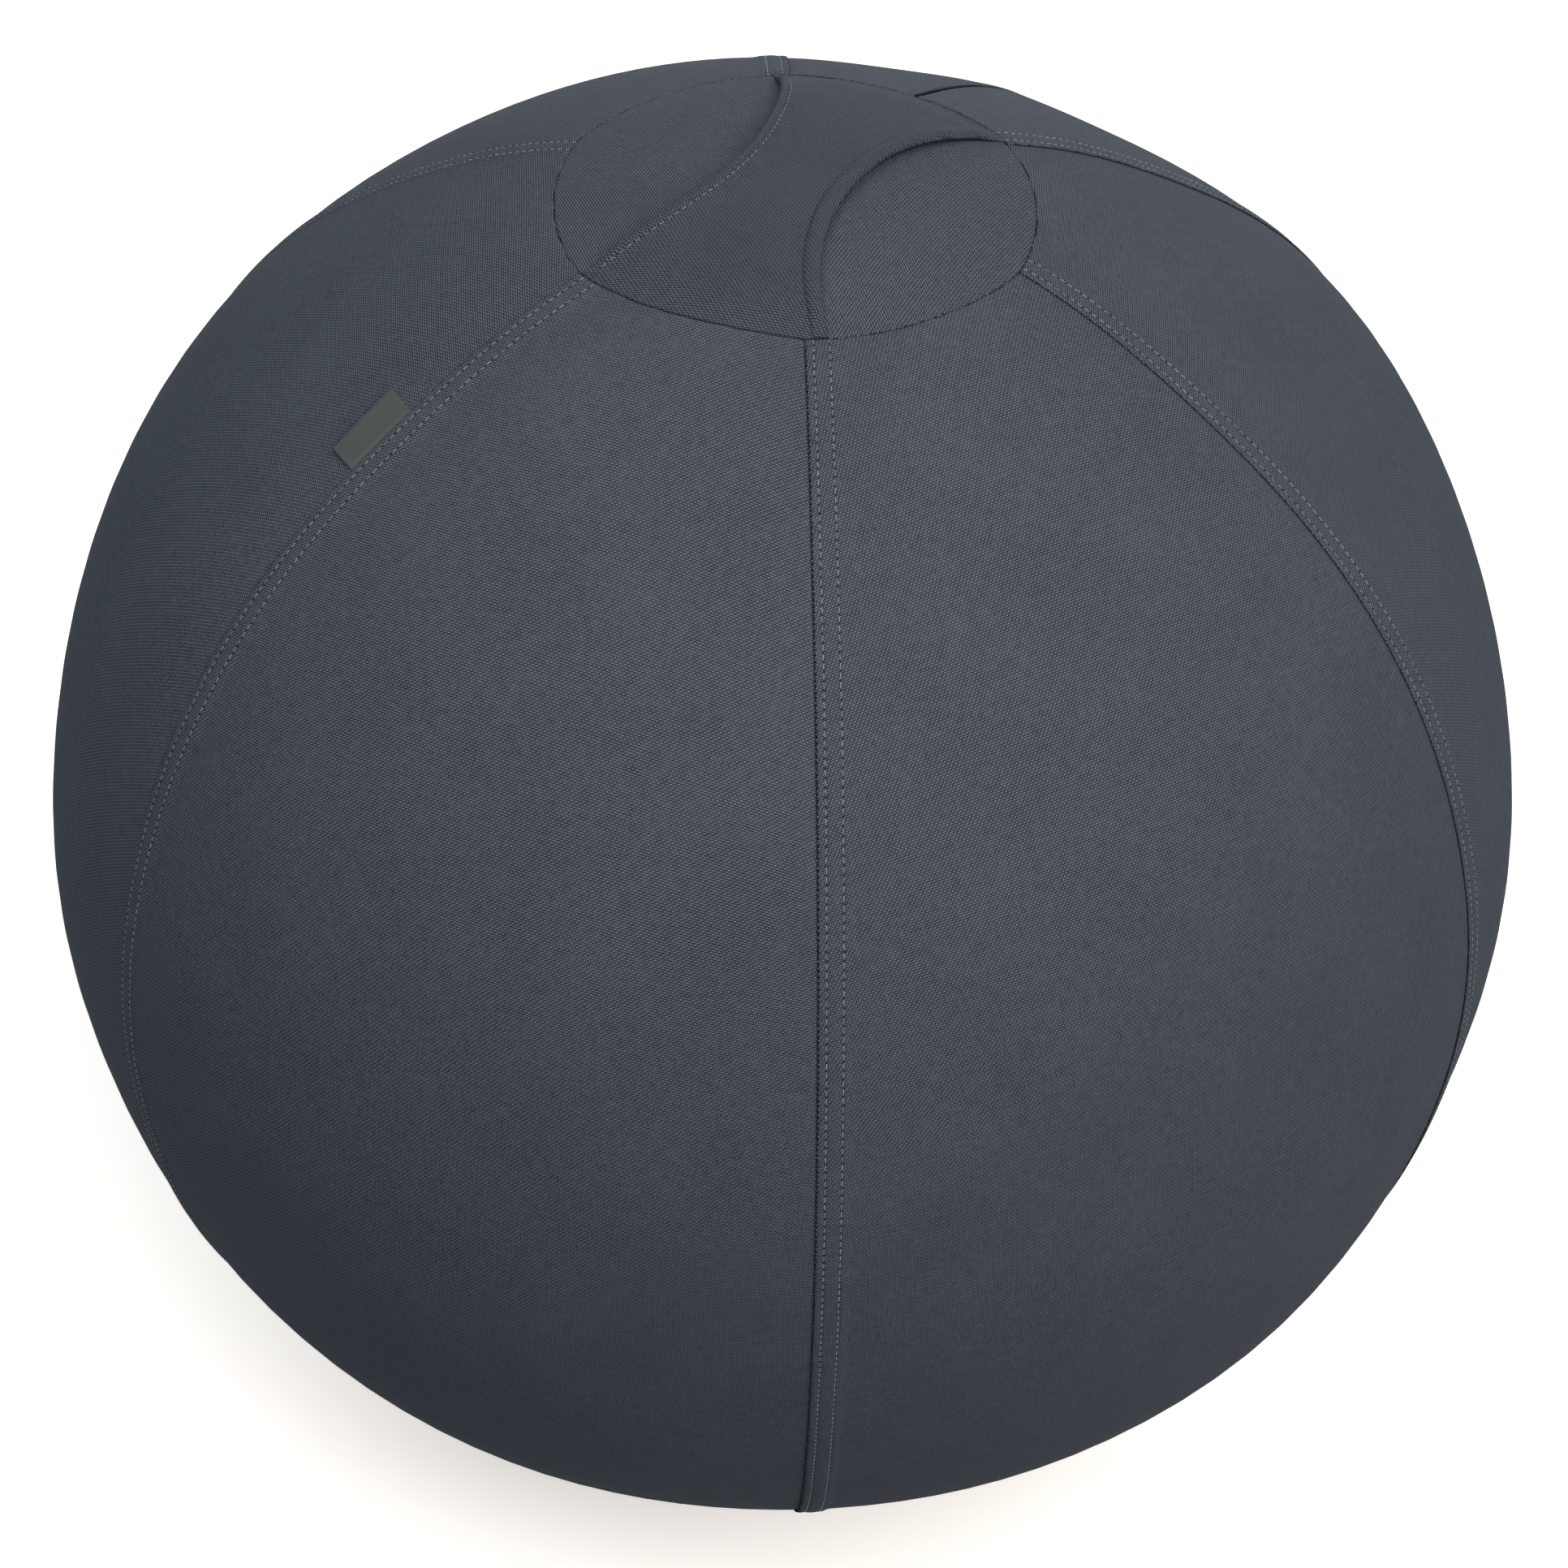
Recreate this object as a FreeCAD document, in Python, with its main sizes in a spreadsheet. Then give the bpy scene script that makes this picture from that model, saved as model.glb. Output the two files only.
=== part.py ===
"""Sitting ball: an inflated ball in a zipped fabric cover with a carry handle and a weighted base.

Millimetres and degrees. The origin is on the floor under the middle of the ball, +Z is up,
and the front panel faces -Y. Pieces of the ball are drawn about its centre and lifted onto the floor.
Polar angles count down from the top of the ball, azimuths count from +X towards +Y.
"""

import FreeCAD
import Part
import math
import os
import re

import Sketcher

Vector = FreeCAD.Vector
Placement = FreeCAD.Placement
Rotation = FreeCAD.Rotation
UP = Vector(0, 0, 1)
ACROSS = Vector(0, 1, 0)

SIZES = (
    # The ball and the flat that it stands on
    ("ball_radius", 325, "outside of the cover"),
    ("base_flat_radius", 70, "flat that rests on the floor"),
    ("crown_radius", 99.5, "rim of the round top panel, seen from above"),
    ("base_rim_radius", 100, "rim of the round bottom panel, seen from above"),
    ("cover_thickness", 1.2, "woven cover cloth"),
    ("base_thickness", 1.6, "bottom panel"),
    ("sew_gap", 0.2, "between layers that are sewn together"),
    # Each curved panel is laid in flat facets, with its corners on the ball
    ("strips_per_panel", 5, "facets across a panel"),
    ("rows_per_panel", 25, "facets from the crown to the base"),
    ("rows_in_crown", 3, "facets from the crown's rim to its middle"),
    # Azimuth of each seam, at the folded edge
    ("seam_front_right", -60, "between the front and front right panels"),
    ("seam_right", 0, "between the front right and rear right panels"),
    ("seam_rear_right", 56, "between the rear right and zip panels"),
    ("seam_rear_left", 119, "between the zip and rear left panels"),
    ("seam_left", 180, "between the rear left and front left panels"),
    ("seam_front_left", 240, "between the front left and front panels"),
    ("seam_width", 11, "band that is folded double beside a seam"),
    ("seam_height", 1.2, "how far that band stands proud"),
    ("seam_setback", 1.5, "from the crown and base rims to the band's ends"),
    # Carry handle
    ("handle_waist", 54, "width at the middle"),
    ("handle_edge_radius", 140, "curve of the two hollow edges, seen from above"),
    ("handle_thickness", 2.2, "two plies of cloth"),
    ("handle_gap", 0.3, "under the handle at the rim"),
    ("handle_rise", 2.5, "more gap than that at the middle"),
    # Slit for the zip
    ("zip_angle", 86, "azimuth of the slit"),
    ("zip_facet_angle", 4, "facet on each side of the slit"),
    ("slot_width", 2.4, "slit between the two folded edges"),
    ("slot_end_angle", 124.5, "polar angle of the slit's lower end"),
    ("lip_width", 8, "hem along the left edge of the slit"),
    ("lip_height", 1.2, "how far that hem stands proud"),
    # Zip
    ("zip_rest_angle", 120, "polar angle of the slider when the cover is closed"),
    ("zip_travel_angle", 94, "how far the slider runs up to open it"),
    ("running_gap", 0.3, "round everything that slides"),
    ("tape_set_in", 1.3, "from the corners of the cover's inside to the tape"),
    ("tape_thickness", 0.5, "woven tape"),
    ("tape_width", 10, "one tape"),
    ("coil_thickness", 2, "coil, from the tape inwards"),
    ("coil_width", 3, "one row of the coil"),
    ("slider_length", 14, "along the zip"),
    ("slider_wall", 1.8, "plate and flanges"),
    ("neck_width", 1.6, "web that passes through the slit"),
    ("neck_length", 4, "that web, along the zip"),
    ("stop_length", 4, "crimped stops, along the zip"),
    ("eye_height", 4.6, "from the cover to the middle of the eye"),
    ("eye_outer_radius", 2.6, "eye on the slider"),
    ("eye_bore_radius", 1.3, "hole through it"),
    ("eye_width", 3, "across the zip"),
    ("pull_pin_radius", 1, "bar of the pull in the eye"),
    ("pull_side_gap", 0.4, "between the eye and the pull's cheeks"),
    ("pull_cheek", 1.3, "each cheek, across the zip"),
    ("pull_thickness", 1.4, "flat of the pull"),
    ("pull_length", 28, "from the bar to the tip"),
    ("pull_tip_radius", 4.5, "round tip"),
    ("pull_crotch", 3.6, "from the bar to the bottom of the fork"),
    # Label tab
    ("label_start_angle", 33.6, "polar angle of its upper end"),
    ("label_length", 33, "along the seam"),
    ("label_width", 15, "out of the seam"),
    ("label_thickness", 1, "ribbon folded double"),
    ("label_gap", 0.3, "over the panel that it lies on"),
    # Inner ball and its ballast
    ("ball_gap", 0.5, "between the cover and the ball inside"),
    ("ball_wall", 0.9, "inflated skin"),
    ("dent_gap", 0.5, "round the zip, where it presses into the ball"),
    ("pouch_height", 21, "ballast bag"),
    ("pouch_floor_radius", 66, "its underside"),
    ("pouch_top_radius", 84, "its top"),
    ("pouch_wall", 0.8, "its cloth"),
    # Valve, in the facet left of the slit at the ball's widest
    ("valve_bore_radius", 4.1, "hole in the seat"),
    ("valve_neck_radius", 6, "outside of the seat's neck"),
    ("valve_neck_length", 14, "into the ball"),
    ("valve_flange_radius", 15, "welded flange"),
    ("valve_flange_thickness", 1.2, "welded flange"),
    ("valve_fit", 0.1, "round the plug, the neck and the flange"),
    ("plug_head_radius", 7, "finger rim of the plug"),
    ("plug_head_thickness", 0.3, "finger rim of the plug"),
    ("plug_stem_length", 16, "into the seat"),
    ("plug_tip_radius", 3.4, "end of the stem"),
)

doc = FreeCAD.newDocument("sitting_ball")
sheet = doc.addObject("Spreadsheet::Sheet", "Sizes")
for row, (alias, number, meaning) in enumerate(SIZES, 1):
    sheet.set(f"A{row}", alias)
    sheet.set(f"B{row}", str(number))
    sheet.set(f"C{row}", meaning)
    sheet.setAlias(f"B{row}", alias)
doc.recompute()
ALIASES = {alias for alias, _, _ in SIZES}


def formula(words):
    """A formula in the sheet's own names, as an expression."""
    return re.sub(r"[a-z_]+", lambda m: f"Sizes.{m[0]}" if m[0] in ALIASES else m[0], words)


def value(words):
    """The number that such a formula comes to."""
    return float(sheet.evalExpression(formula(words)))


def bind(item, path, words):
    """Ties a property of an object to such a formula."""
    item.setExpression(path, formula(words))


def polar_degrees(length, radius):
    """Formula for the angle that a length spans at a radius, in degrees."""
    return f"(({length}) / ({radius}) * 180 / pi)"


# Formulas that several pieces share, from the cover inwards
TAPE_TOP = "(ball_radius - cover_thickness - tape_set_in)"
TAPE_UNDER = f"({TAPE_TOP} - tape_thickness)"
COIL_TOP = f"({TAPE_UNDER} - sew_gap)"
COIL_UNDER = f"({COIL_TOP} - coil_thickness)"
PLATE_TOP = f"({COIL_UNDER} - running_gap)"
PLATE_UNDER = f"({PLATE_TOP} - slider_wall)"
COIL_OUTSIDE = "(slot_width / 2 + coil_width)"
FLANGE_INSIDE = f"({COIL_OUTSIDE} + running_gap)"
SLIDER_REACH = polar_degrees("slider_length / 2 + running_gap", PLATE_UNDER)
STOP_REACH = polar_degrees("stop_length", COIL_UNDER)
CLOSED_END = f"(zip_rest_angle + {SLIDER_REACH})"
OPEN_END = f"(zip_rest_angle - zip_travel_angle - {SLIDER_REACH})"

ball_radius = value("ball_radius")
cover_inside = ball_radius - value("cover_thickness")
centre_height = math.sqrt(ball_radius**2 - value("base_flat_radius") ** 2)
slot_half = value("slot_width") / 2
crown_polar = math.degrees(math.asin(value("crown_radius") / ball_radius))
base_polar = 180 - math.degrees(math.asin(value("base_rim_radius") / ball_radius))
LIFT = Placement(Vector(0, 0, centre_height), Rotation())
nodes = []


def keep(item, label, placement=None):
    """Names a finished sub-part and puts it in its place."""
    item.Label = label
    if placement is not None:
        item.Placement = placement
    nodes.append(item)
    return item


def shaped(label, shape):
    """A sub-part whose shape is worked out here, about the middle of the ball."""
    item = doc.addObject("Part::Feature", label)
    item.Shape = shape
    return keep(item, label, LIFT)


def on_ball(radius, polar, azimuth=0):
    """The point at that radius, polar angle and azimuth."""
    down, turn = math.radians(polar), math.radians(azimuth)
    out = radius * math.sin(down)
    return Vector(out * math.cos(turn), out * math.sin(turn), radius * math.cos(down))


def steps(start, end, count):
    """Evenly spaced values from start to end, both included."""
    return [start + (end - start) * i / count for i in range(count + 1)]


# Flat facets


def facet(points):
    """A flat face through the points, or none where they fall together."""
    corners = []
    for point in points:
        if all(point.distanceToPoint(other) > 1e-6 for other in corners):
            corners.append(point)
    return Part.Face(Part.makePolygon(corners + corners[:1])) if len(corners) > 2 else None


def closed_solid(faces):
    """One solid from the faces all round it."""
    solid = Part.makeSolid(Part.makeShell([face for face in faces if face]))
    if solid.Volume < 0:
        solid.reverse()
    return solid.removeSplitter()


def skin(profile, azimuths):
    """Facets between neighbouring points of a profile of (radius, height) and neighbouring azimuths."""
    rings = [[Vector(out * math.cos(a), out * math.sin(a), up) for a in map(math.radians, azimuths)]
             for out, up in profile]
    return [
        facet((upper[i], upper[i + 1], lower[i + 1], lower[i]))
        for upper, lower in zip(rings, rings[1:])
        for i in range(len(azimuths) - 1)
    ]


def sheet_of_cloth(outside, inside, azimuths):
    """A panel between two profiles, with its edges closed. Azimuths that end where they start go all round."""
    faces = skin(outside, azimuths) + skin(inside, azimuths)
    for end in (0, -1):
        faces += skin((outside[end], inside[end]), azimuths)
    if azimuths[-1] - azimuths[0] < 360:
        for azimuth in (azimuths[0], azimuths[-1]):
            outline = list(outside) + list(inside)[::-1]
            turn = math.radians(azimuth)
            faces.append(facet([Vector(out * math.cos(turn), out * math.sin(turn), up) for out, up in outline]))
    return closed_solid(faces)


def round_profile(radius, polars):
    """Points of a ball's outline at those polar angles, as (radius, height)."""
    return [(radius * math.sin(math.radians(p)), radius * math.cos(math.radians(p))) for p in polars]


def arc_band(inner, outer, start, end, near, far, azimuth):
    """A bent bar along a meridian: between two radii and two polar angles, from near to far beside it."""
    middle = (start + end) / 2
    outline = Part.Wire([
        Part.Arc(on_ball(outer, start), on_ball(outer, middle), on_ball(outer, end)).toShape(),
        Part.LineSegment(on_ball(outer, end), on_ball(inner, end)).toShape(),
        Part.Arc(on_ball(inner, end), on_ball(inner, middle), on_ball(inner, start)).toShape(),
        Part.LineSegment(on_ball(inner, start), on_ball(outer, start)).toShape(),
    ])
    bar = Part.Face(outline).extrude(ACROSS * (far - near))
    bar.translate(ACROSS * near)
    bar.rotate(Vector(), UP, azimuth)
    return bar


def beside(azimuth, near, far):
    """An upright slab along a meridian, from near to far beside it."""
    reach = 2 * ball_radius
    slab = Part.makeBox(reach, far - near, 2 * reach, Vector(0, near, -reach))
    slab.rotate(Vector(), UP, azimuth)
    return slab


# Cover panels

zip_angle = value("zip_angle")
facet_angle = value("zip_facet_angle")
strips = int(value("strips_per_panel"))
panel_polars = steps(crown_polar, base_polar, int(value("rows_per_panel")))
setback = math.degrees(value("seam_setback") / ball_radius)
half_strips = strips // 2
WHOLE_PANELS = {
    "gore_front": ("seam_front_left", "seam_front_right"),
    "gore_front_right": ("seam_front_right", "seam_right"),
    "gore_rear_right": ("seam_right", "seam_rear_right"),
    "gore_rear_left": ("seam_rear_left", "seam_left"),
    "gore_front_left": ("seam_left", "seam_front_left"),
}


def cloth_between(azimuths, thicker=0):
    """The cover between two seams, from the crown to the base, or a band of it that stands proud."""
    clear = setback if thicker else 0
    polars = [max(min(p, base_polar - clear), crown_polar + clear) for p in panel_polars]
    outside = round_profile(ball_radius + thicker, polars)
    return sheet_of_cloth(outside, round_profile(cover_inside, polars), azimuths)


def gore(azimuths):
    """A panel with the folded band of its first seam."""
    band = cloth_between(azimuths[:2], value("seam_height"))
    band = band.common(beside(azimuths[0], 0, value("seam_width")))
    return cloth_between(azimuths).fuse(band).removeSplitter()


all_azimuths = []
for label, (first, last) in WHOLE_PANELS.items():
    low, high = value(first), value(last)
    azimuths = steps(low, high if high > low else high + 360, strips)
    shaped(label, gore(azimuths))
    all_azimuths += [a % 360 for a in azimuths]

right_azimuths = steps(value("seam_rear_right"), zip_angle - facet_angle, half_strips) + [zip_angle]
left_azimuths = [zip_angle] + steps(zip_angle + facet_angle, value("seam_rear_left"), half_strips)
slot_end = value("slot_end_angle")
slit = arc_band(cover_inside - 2, ball_radius + 4, crown_polar - 2, slot_end, -slot_half, slot_half, zip_angle)
hem = cloth_between(left_azimuths[:2], value("lip_height"))
hem = hem.common(beside(zip_angle, slot_half, slot_half + value("lip_width")))
hem = hem.common(arc_band(ball_radius / 2, 2 * ball_radius, 0, slot_end, 0, ball_radius, zip_angle))
shaped("gore_zip_right", gore(right_azimuths).cut(slit).removeSplitter())
shaped("gore_zip_left", cloth_between(left_azimuths).fuse(hem).cut(slit).removeSplitter())

all_azimuths = sorted({round(a % 360, 6) for a in all_azimuths + right_azimuths + left_azimuths})
all_round = all_azimuths + [all_azimuths[0] + 360]
rim_gap = math.degrees(value("sew_gap") / ball_radius)
crown_polars = steps(0, crown_polar - rim_gap, int(value("rows_in_crown")))
shaped("crown_disc", sheet_of_cloth(
    round_profile(ball_radius, crown_polars), round_profile(cover_inside, crown_polars), all_round))

base_inside = ball_radius - value("base_thickness")
base_floor = -centre_height + value("base_thickness")
base_rim = [base_polar + rim_gap]
shaped("base_disc", sheet_of_cloth(
    round_profile(ball_radius, base_rim) + [(value("base_flat_radius"), -centre_height), (0, -centre_height)],
    round_profile(base_inside, base_rim)
    + [(math.sqrt(base_inside**2 - base_floor**2), base_floor), (0, base_floor)],
    all_round))

# Inner ball, flattened on the ballast and dented along the zip

ball_outside = cover_inside - value("ball_gap")
ballast_floor = value("base_thickness") + value("sew_gap")
ball_flat = ballast_floor + value("pouch_height") + value("sew_gap") - centre_height
dent_start = crown_polar + setback
dent_floor = value(PLATE_UNDER) - value("dent_gap")
dent_half = slot_half + value("tape_width") + value("dent_gap")


def ball_form(inset):
    """The ball's outside, or its inside at a wall's depth."""
    radius, flat = ball_outside - inset, ball_flat + inset
    last = math.degrees(math.acos(flat / radius))
    polars = steps(0, crown_polar, int(value("rows_in_crown"))) + panel_polars[1:]
    polars = [p for p in polars if p < last] + [last]
    ball = closed_solid(skin(round_profile(radius, polars) + [(0, flat)], all_round))
    more = math.degrees(inset / radius)
    return ball.cut(arc_band(dent_floor - inset, 2 * ball_radius, dent_start - more, slot_end + more,
                             -dent_half - inset, dent_half + inset, zip_angle))


valve_angle = (left_azimuths[1] + left_azimuths[2]) / 2
valve_strip = math.radians(left_azimuths[2] - left_azimuths[1])
valve_row = math.radians(panel_polars[1] - panel_polars[0])
valve_wall = ball_outside * math.cos(valve_strip / 2) * math.cos(valve_row / 2)
valve_hole = Part.makeCylinder(
    value("valve_neck_radius") + value("valve_fit"), ball_radius, Vector(), on_ball(1, 90, valve_angle))
shaped("inner_ball", ball_form(0).cut(ball_form(value("ball_wall"))).cut(valve_hole))


# Sketches


def plane_of(body, role):
    """One of a body's own origin planes."""
    return next(item for item in body.Origin.OriginFeatures if item.Role == role)


def new_sketch(body, name, role, offset=0):
    """A sketch on one of a body's planes, moved along that plane's normal."""
    drawing = body.newObject("Sketcher::SketchObject", name)
    drawing.AttachmentSupport = (plane_of(body, role), "")
    drawing.MapMode = "FlatFace"
    if offset:
        bind(drawing, "AttachmentOffset.Base.z", offset)
    return drawing


def measure(drawing, kind, where, words):
    """A dimension of a sketch, tied to a formula."""
    present = math.radians(value(words)) if kind == "Angle" else value(words)
    index = drawing.addConstraint(Sketcher.Constraint(kind, *where, present))
    bind(drawing, f"Constraints[{index}]", words)


def rectangle(drawing, left, right, low, high):
    """A rectangle between four formulas, measured from the sketch's origin."""
    corners = [Vector(value(x), value(y)) for x, y in ((left, low), (right, low), (right, high), (left, high))]
    lines = [drawing.addGeometry(Part.LineSegment(corners[i], corners[(i + 1) % 4])) for i in range(4)]
    for i in range(4):
        drawing.addConstraint(Sketcher.Constraint("Coincident", lines[i], 2, lines[(i + 1) % 4], 1))
        drawing.addConstraint(Sketcher.Constraint("Horizontal" if i % 2 == 0 else "Vertical", lines[i]))
    measure(drawing, "DistanceX", (-1, 1, lines[0], 1), left)
    measure(drawing, "DistanceX", (-1, 1, lines[1], 1), right)
    measure(drawing, "DistanceY", (-1, 1, lines[0], 1), low)
    measure(drawing, "DistanceY", (-1, 1, lines[2], 1), high)


def bent_strip(drawing, inner, outer, start, end):
    """The outline of a bent bar about the sketch's origin, between two radii and two polar angles."""
    radii, angles = (value(inner), value(outer)), (value(start), value(end))
    arcs = [
        drawing.addGeometry(Part.ArcOfCircle(
            Part.Circle(Vector(), UP, radius), math.radians(90 - angles[1]), math.radians(90 - angles[0])))
        for radius in radii
    ]
    ends = []
    for angle in angles:
        low, high = (on_ball(radius, angle) for radius in radii)
        ends.append(drawing.addGeometry(Part.LineSegment(Vector(low.x, low.z), Vector(high.x, high.z))))
    for arc, words, point in ((arcs[0], inner, 1), (arcs[1], outer, 2)):
        drawing.addConstraint(Sketcher.Constraint("Coincident", arc, 3, -1, 1))
        drawing.addConstraint(Sketcher.Constraint("Coincident", ends[0], point, arc, 2))
        drawing.addConstraint(Sketcher.Constraint("Coincident", ends[1], point, arc, 1))
        measure(drawing, "Radius", (arc,), words)
    for line, words in zip(ends, (start, end)):
        drawing.addConstraint(Sketcher.Constraint("PointOnObject", -1, 1, line))
        measure(drawing, "Angle", (line,), f"90 - {words}")


def pad(body, drawing, length, reversed_side=False, both_sides=False):
    """A plate of that thickness from a sketch."""
    feature = body.newObject("PartDesign::Pad", drawing.Name + "Pad")
    feature.Profile = drawing
    feature.Reversed = reversed_side
    feature.Midplane = both_sides
    bind(feature, "Length", length)
    return feature


def zip_strip(label, inner, outer, start, end, near, width, left):
    """A bent strip beside the zip's meridian, on its left or right, or across it where near is 0."""
    body = doc.addObject("PartDesign::Body", label)
    offset = near and (f"-({near})" if left else near)
    drawing = new_sketch(body, label + "_outline", "XZ_Plane", offset)
    bent_strip(drawing, inner, outer, start, end)
    pad(body, drawing, width, reversed_side=left, both_sides=not near)
    return keep(body, label, Placement(LIFT.Base, Rotation(UP, zip_angle)))


# Zip, a concealed one: the coil lies inside, and only the slider's neck comes through the slit

TAPE_START = f"({OPEN_END} - {STOP_REACH})"
TAPE_END = f"({CLOSED_END} + {STOP_REACH})"
for side, left in (("right", False), ("left", True)):
    zip_strip(f"zip_tape_{side}", TAPE_UNDER, TAPE_TOP, TAPE_START, TAPE_END,
              "slot_width / 2", "tape_width", left)
    zip_strip(f"zip_teeth_{side}", COIL_UNDER, COIL_TOP, OPEN_END, CLOSED_END,
              "slot_width / 2", "coil_width", left)
    zip_strip(f"zip_end_stop_{side}", COIL_UNDER, COIL_TOP, CLOSED_END, TAPE_END,
              "slot_width / 2", "coil_width", left)
zip_strip("zip_start_stop", COIL_UNDER, COIL_TOP, TAPE_START, OPEN_END, 0, f"2 * {COIL_OUTSIDE}", False)

EYE = "(ball_radius + eye_height)"
HALF_SLIDER = "slider_length / 2"
slider = doc.addObject("PartDesign::Body", "zip_slider")
plate = new_sketch(slider, "slider_plate", "XZ_Plane")
rectangle(plate, PLATE_UNDER, PLATE_TOP, f"-{HALF_SLIDER}", HALF_SLIDER)
pad(slider, plate, f"2 * ({FLANGE_INSIDE} + slider_wall)", both_sides=True)
for side, left in (("right", False), ("left", True)):
    flange = new_sketch(slider, f"slider_flange_{side}", "XZ_Plane", f"{'-' if left else ''}{FLANGE_INSIDE}")
    rectangle(flange, PLATE_UNDER, f"{TAPE_UNDER} - running_gap", f"-{HALF_SLIDER}", HALF_SLIDER)
    pad(slider, flange, "slider_wall", reversed_side=left)
neck = new_sketch(slider, "slider_neck", "XZ_Plane")
rectangle(neck, f"{PLATE_TOP} - slider_wall / 2", EYE, "-neck_length / 2", "neck_length / 2")
pad(slider, neck, "neck_width", both_sides=True)
for name, radius in (("slider_eye", "eye_outer_radius"), ("slider_bore", "eye_bore_radius")):
    ring = new_sketch(slider, name, "XZ_Plane")
    circle = ring.addGeometry(Part.Circle(Vector(value(EYE), 0), UP, value(radius)))
    ring.addConstraint(Sketcher.Constraint("PointOnObject", circle, 3, -1))
    measure(ring, "DistanceX", (-1, 1, circle, 3), EYE)
    measure(ring, "Radius", (circle,), radius)
    if name == "slider_eye":
        pad(slider, ring, "eye_width", both_sides=True)
    else:
        doc.recompute()
        bore = slider.newObject("PartDesign::Pocket", name + "Pocket")
        bore.Profile = ring
        bore.Midplane = True
        bind(bore, "Length", "2 * eye_width")
zip_rest = value("zip_rest_angle")
keep(slider, "zip_slider", Placement(LIFT.Base, Rotation(UP, zip_angle) * Rotation(ACROSS, zip_rest - 90)))

# Pull: a tongue with a fork at its top and a bar between the cheeks, hanging straight down

HALF_FORK = "(eye_width / 2 + pull_side_gap)"
HALF_TOP = f"({HALF_FORK} + pull_cheek)"
puller = doc.addObject("PartDesign::Body", "zip_pull")
tongue = new_sketch(puller, "pull_tongue", "YZ_Plane")
half_top, over_bar = value(HALF_TOP), value("pull_pin_radius")
tip, drop = value("pull_tip_radius"), value("pull_length - pull_tip_radius")
points = [Vector(tip, -drop), Vector(half_top, over_bar), Vector(-half_top, over_bar), Vector(-tip, -drop)]
right, top, left = (tongue.addGeometry(Part.LineSegment(*pair)) for pair in zip(points, points[1:]))
round_tip = tongue.addGeometry(Part.ArcOfCircle(Part.Circle(Vector(0, -drop), UP, tip), math.pi, 2 * math.pi))
for first, end, second, start in ((right, 2, top, 1), (top, 2, left, 1)):
    tongue.addConstraint(Sketcher.Constraint("Coincident", first, end, second, start))
tongue.addConstraint(Sketcher.Constraint("Tangent", left, 2, round_tip, 1))
tongue.addConstraint(Sketcher.Constraint("Tangent", right, 1, round_tip, 2))
tongue.addConstraint(Sketcher.Constraint("PointOnObject", round_tip, 3, -2))
tongue.addConstraint(Sketcher.Constraint("Symmetric", top, 1, top, 2, -2))
measure(tongue, "Radius", (round_tip,), "pull_tip_radius")
measure(tongue, "DistanceY", (round_tip, 3, -1, 1), "pull_length - pull_tip_radius")
measure(tongue, "DistanceY", (-1, 1, top, 1), "pull_pin_radius")
measure(tongue, "DistanceX", (-1, 1, top, 1), HALF_TOP)
pad(puller, tongue, "pull_thickness", both_sides=True)
doc.recompute()
fork = new_sketch(puller, "pull_fork", "YZ_Plane")
rectangle(fork, f"-{HALF_FORK}", HALF_FORK, "-pull_crotch", "2 * pull_pin_radius")
gap = puller.newObject("PartDesign::Pocket", "pull_forkPocket")
gap.Profile = fork
gap.Midplane = True
bind(gap, "Length", "2 * pull_thickness")
bar = new_sketch(puller, "pull_bar", "XZ_Plane")
circle = bar.addGeometry(Part.Circle(Vector(), UP, over_bar))
bar.addConstraint(Sketcher.Constraint("Coincident", circle, 3, -1, 1))
measure(bar, "Radius", (circle,), "pull_pin_radius")
pad(puller, bar, f"2 * {HALF_TOP}", both_sides=True)
pin = on_ball(ball_radius + value("eye_height"), zip_rest, zip_angle)
keep(puller, "zip_pull", Placement(LIFT.Base + pin, Rotation(UP, zip_angle)))

# Label tab, caught in the front left seam and lying on the panel beside it

label = doc.addObject("PartDesign::Body", "side_label")
ribbon = new_sketch(label, "label_outline", "XZ_Plane")
bent_strip(ribbon, "ball_radius + label_gap", "ball_radius + label_gap + label_thickness", "label_start_angle",
           f"(label_start_angle + {polar_degrees('label_length', 'ball_radius')})")
pad(label, ribbon, "label_width")
keep(label, "side_label", Placement(LIFT.Base, Rotation(UP, value("seam_front_left"))))

# Carry handle: an hourglass cut from a shallow dome that meets the crown's rim

strap = doc.addObject("PartDesign::Body", "handle_outline")
hourglass = new_sketch(strap, "handle_hourglass", "XY_Plane")
rim, hollow = value("crown_radius"), value("handle_edge_radius")
hollow_out = value("handle_waist") / 2 + hollow
corner_x = (hollow_out**2 - hollow**2 + rim**2) / (2 * hollow_out)
corner_y = math.sqrt(rim**2 - corner_x**2)
rim_half = math.atan2(corner_x, corner_y)
edge_half = math.atan2(corner_y, hollow_out - corner_x)
ends = [
    hourglass.addGeometry(Part.ArcOfCircle(Part.Circle(Vector(), UP, rim), turn - rim_half, turn + rim_half))
    for turn in (math.pi / 2, 3 * math.pi / 2)
]
edges = [
    hourglass.addGeometry(Part.ArcOfCircle(
        Part.Circle(Vector(x, 0), UP, hollow), turn - edge_half, turn + edge_half))
    for x, turn in ((hollow_out, math.pi), (-hollow_out, 0))
]
for end in ends:
    hourglass.addConstraint(Sketcher.Constraint("Coincident", end, 3, -1, 1))
    measure(hourglass, "Radius", (end,), "crown_radius")
for edge in edges:
    hourglass.addConstraint(Sketcher.Constraint("PointOnObject", edge, 3, -1))
    measure(hourglass, "Radius", (edge,), "handle_edge_radius")
measure(hourglass, "DistanceX", (-1, 1, edges[0], 3), "handle_waist / 2 + handle_edge_radius")
measure(hourglass, "DistanceX", (edges[1], 3, -1, 1), "handle_waist / 2 + handle_edge_radius")
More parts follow.
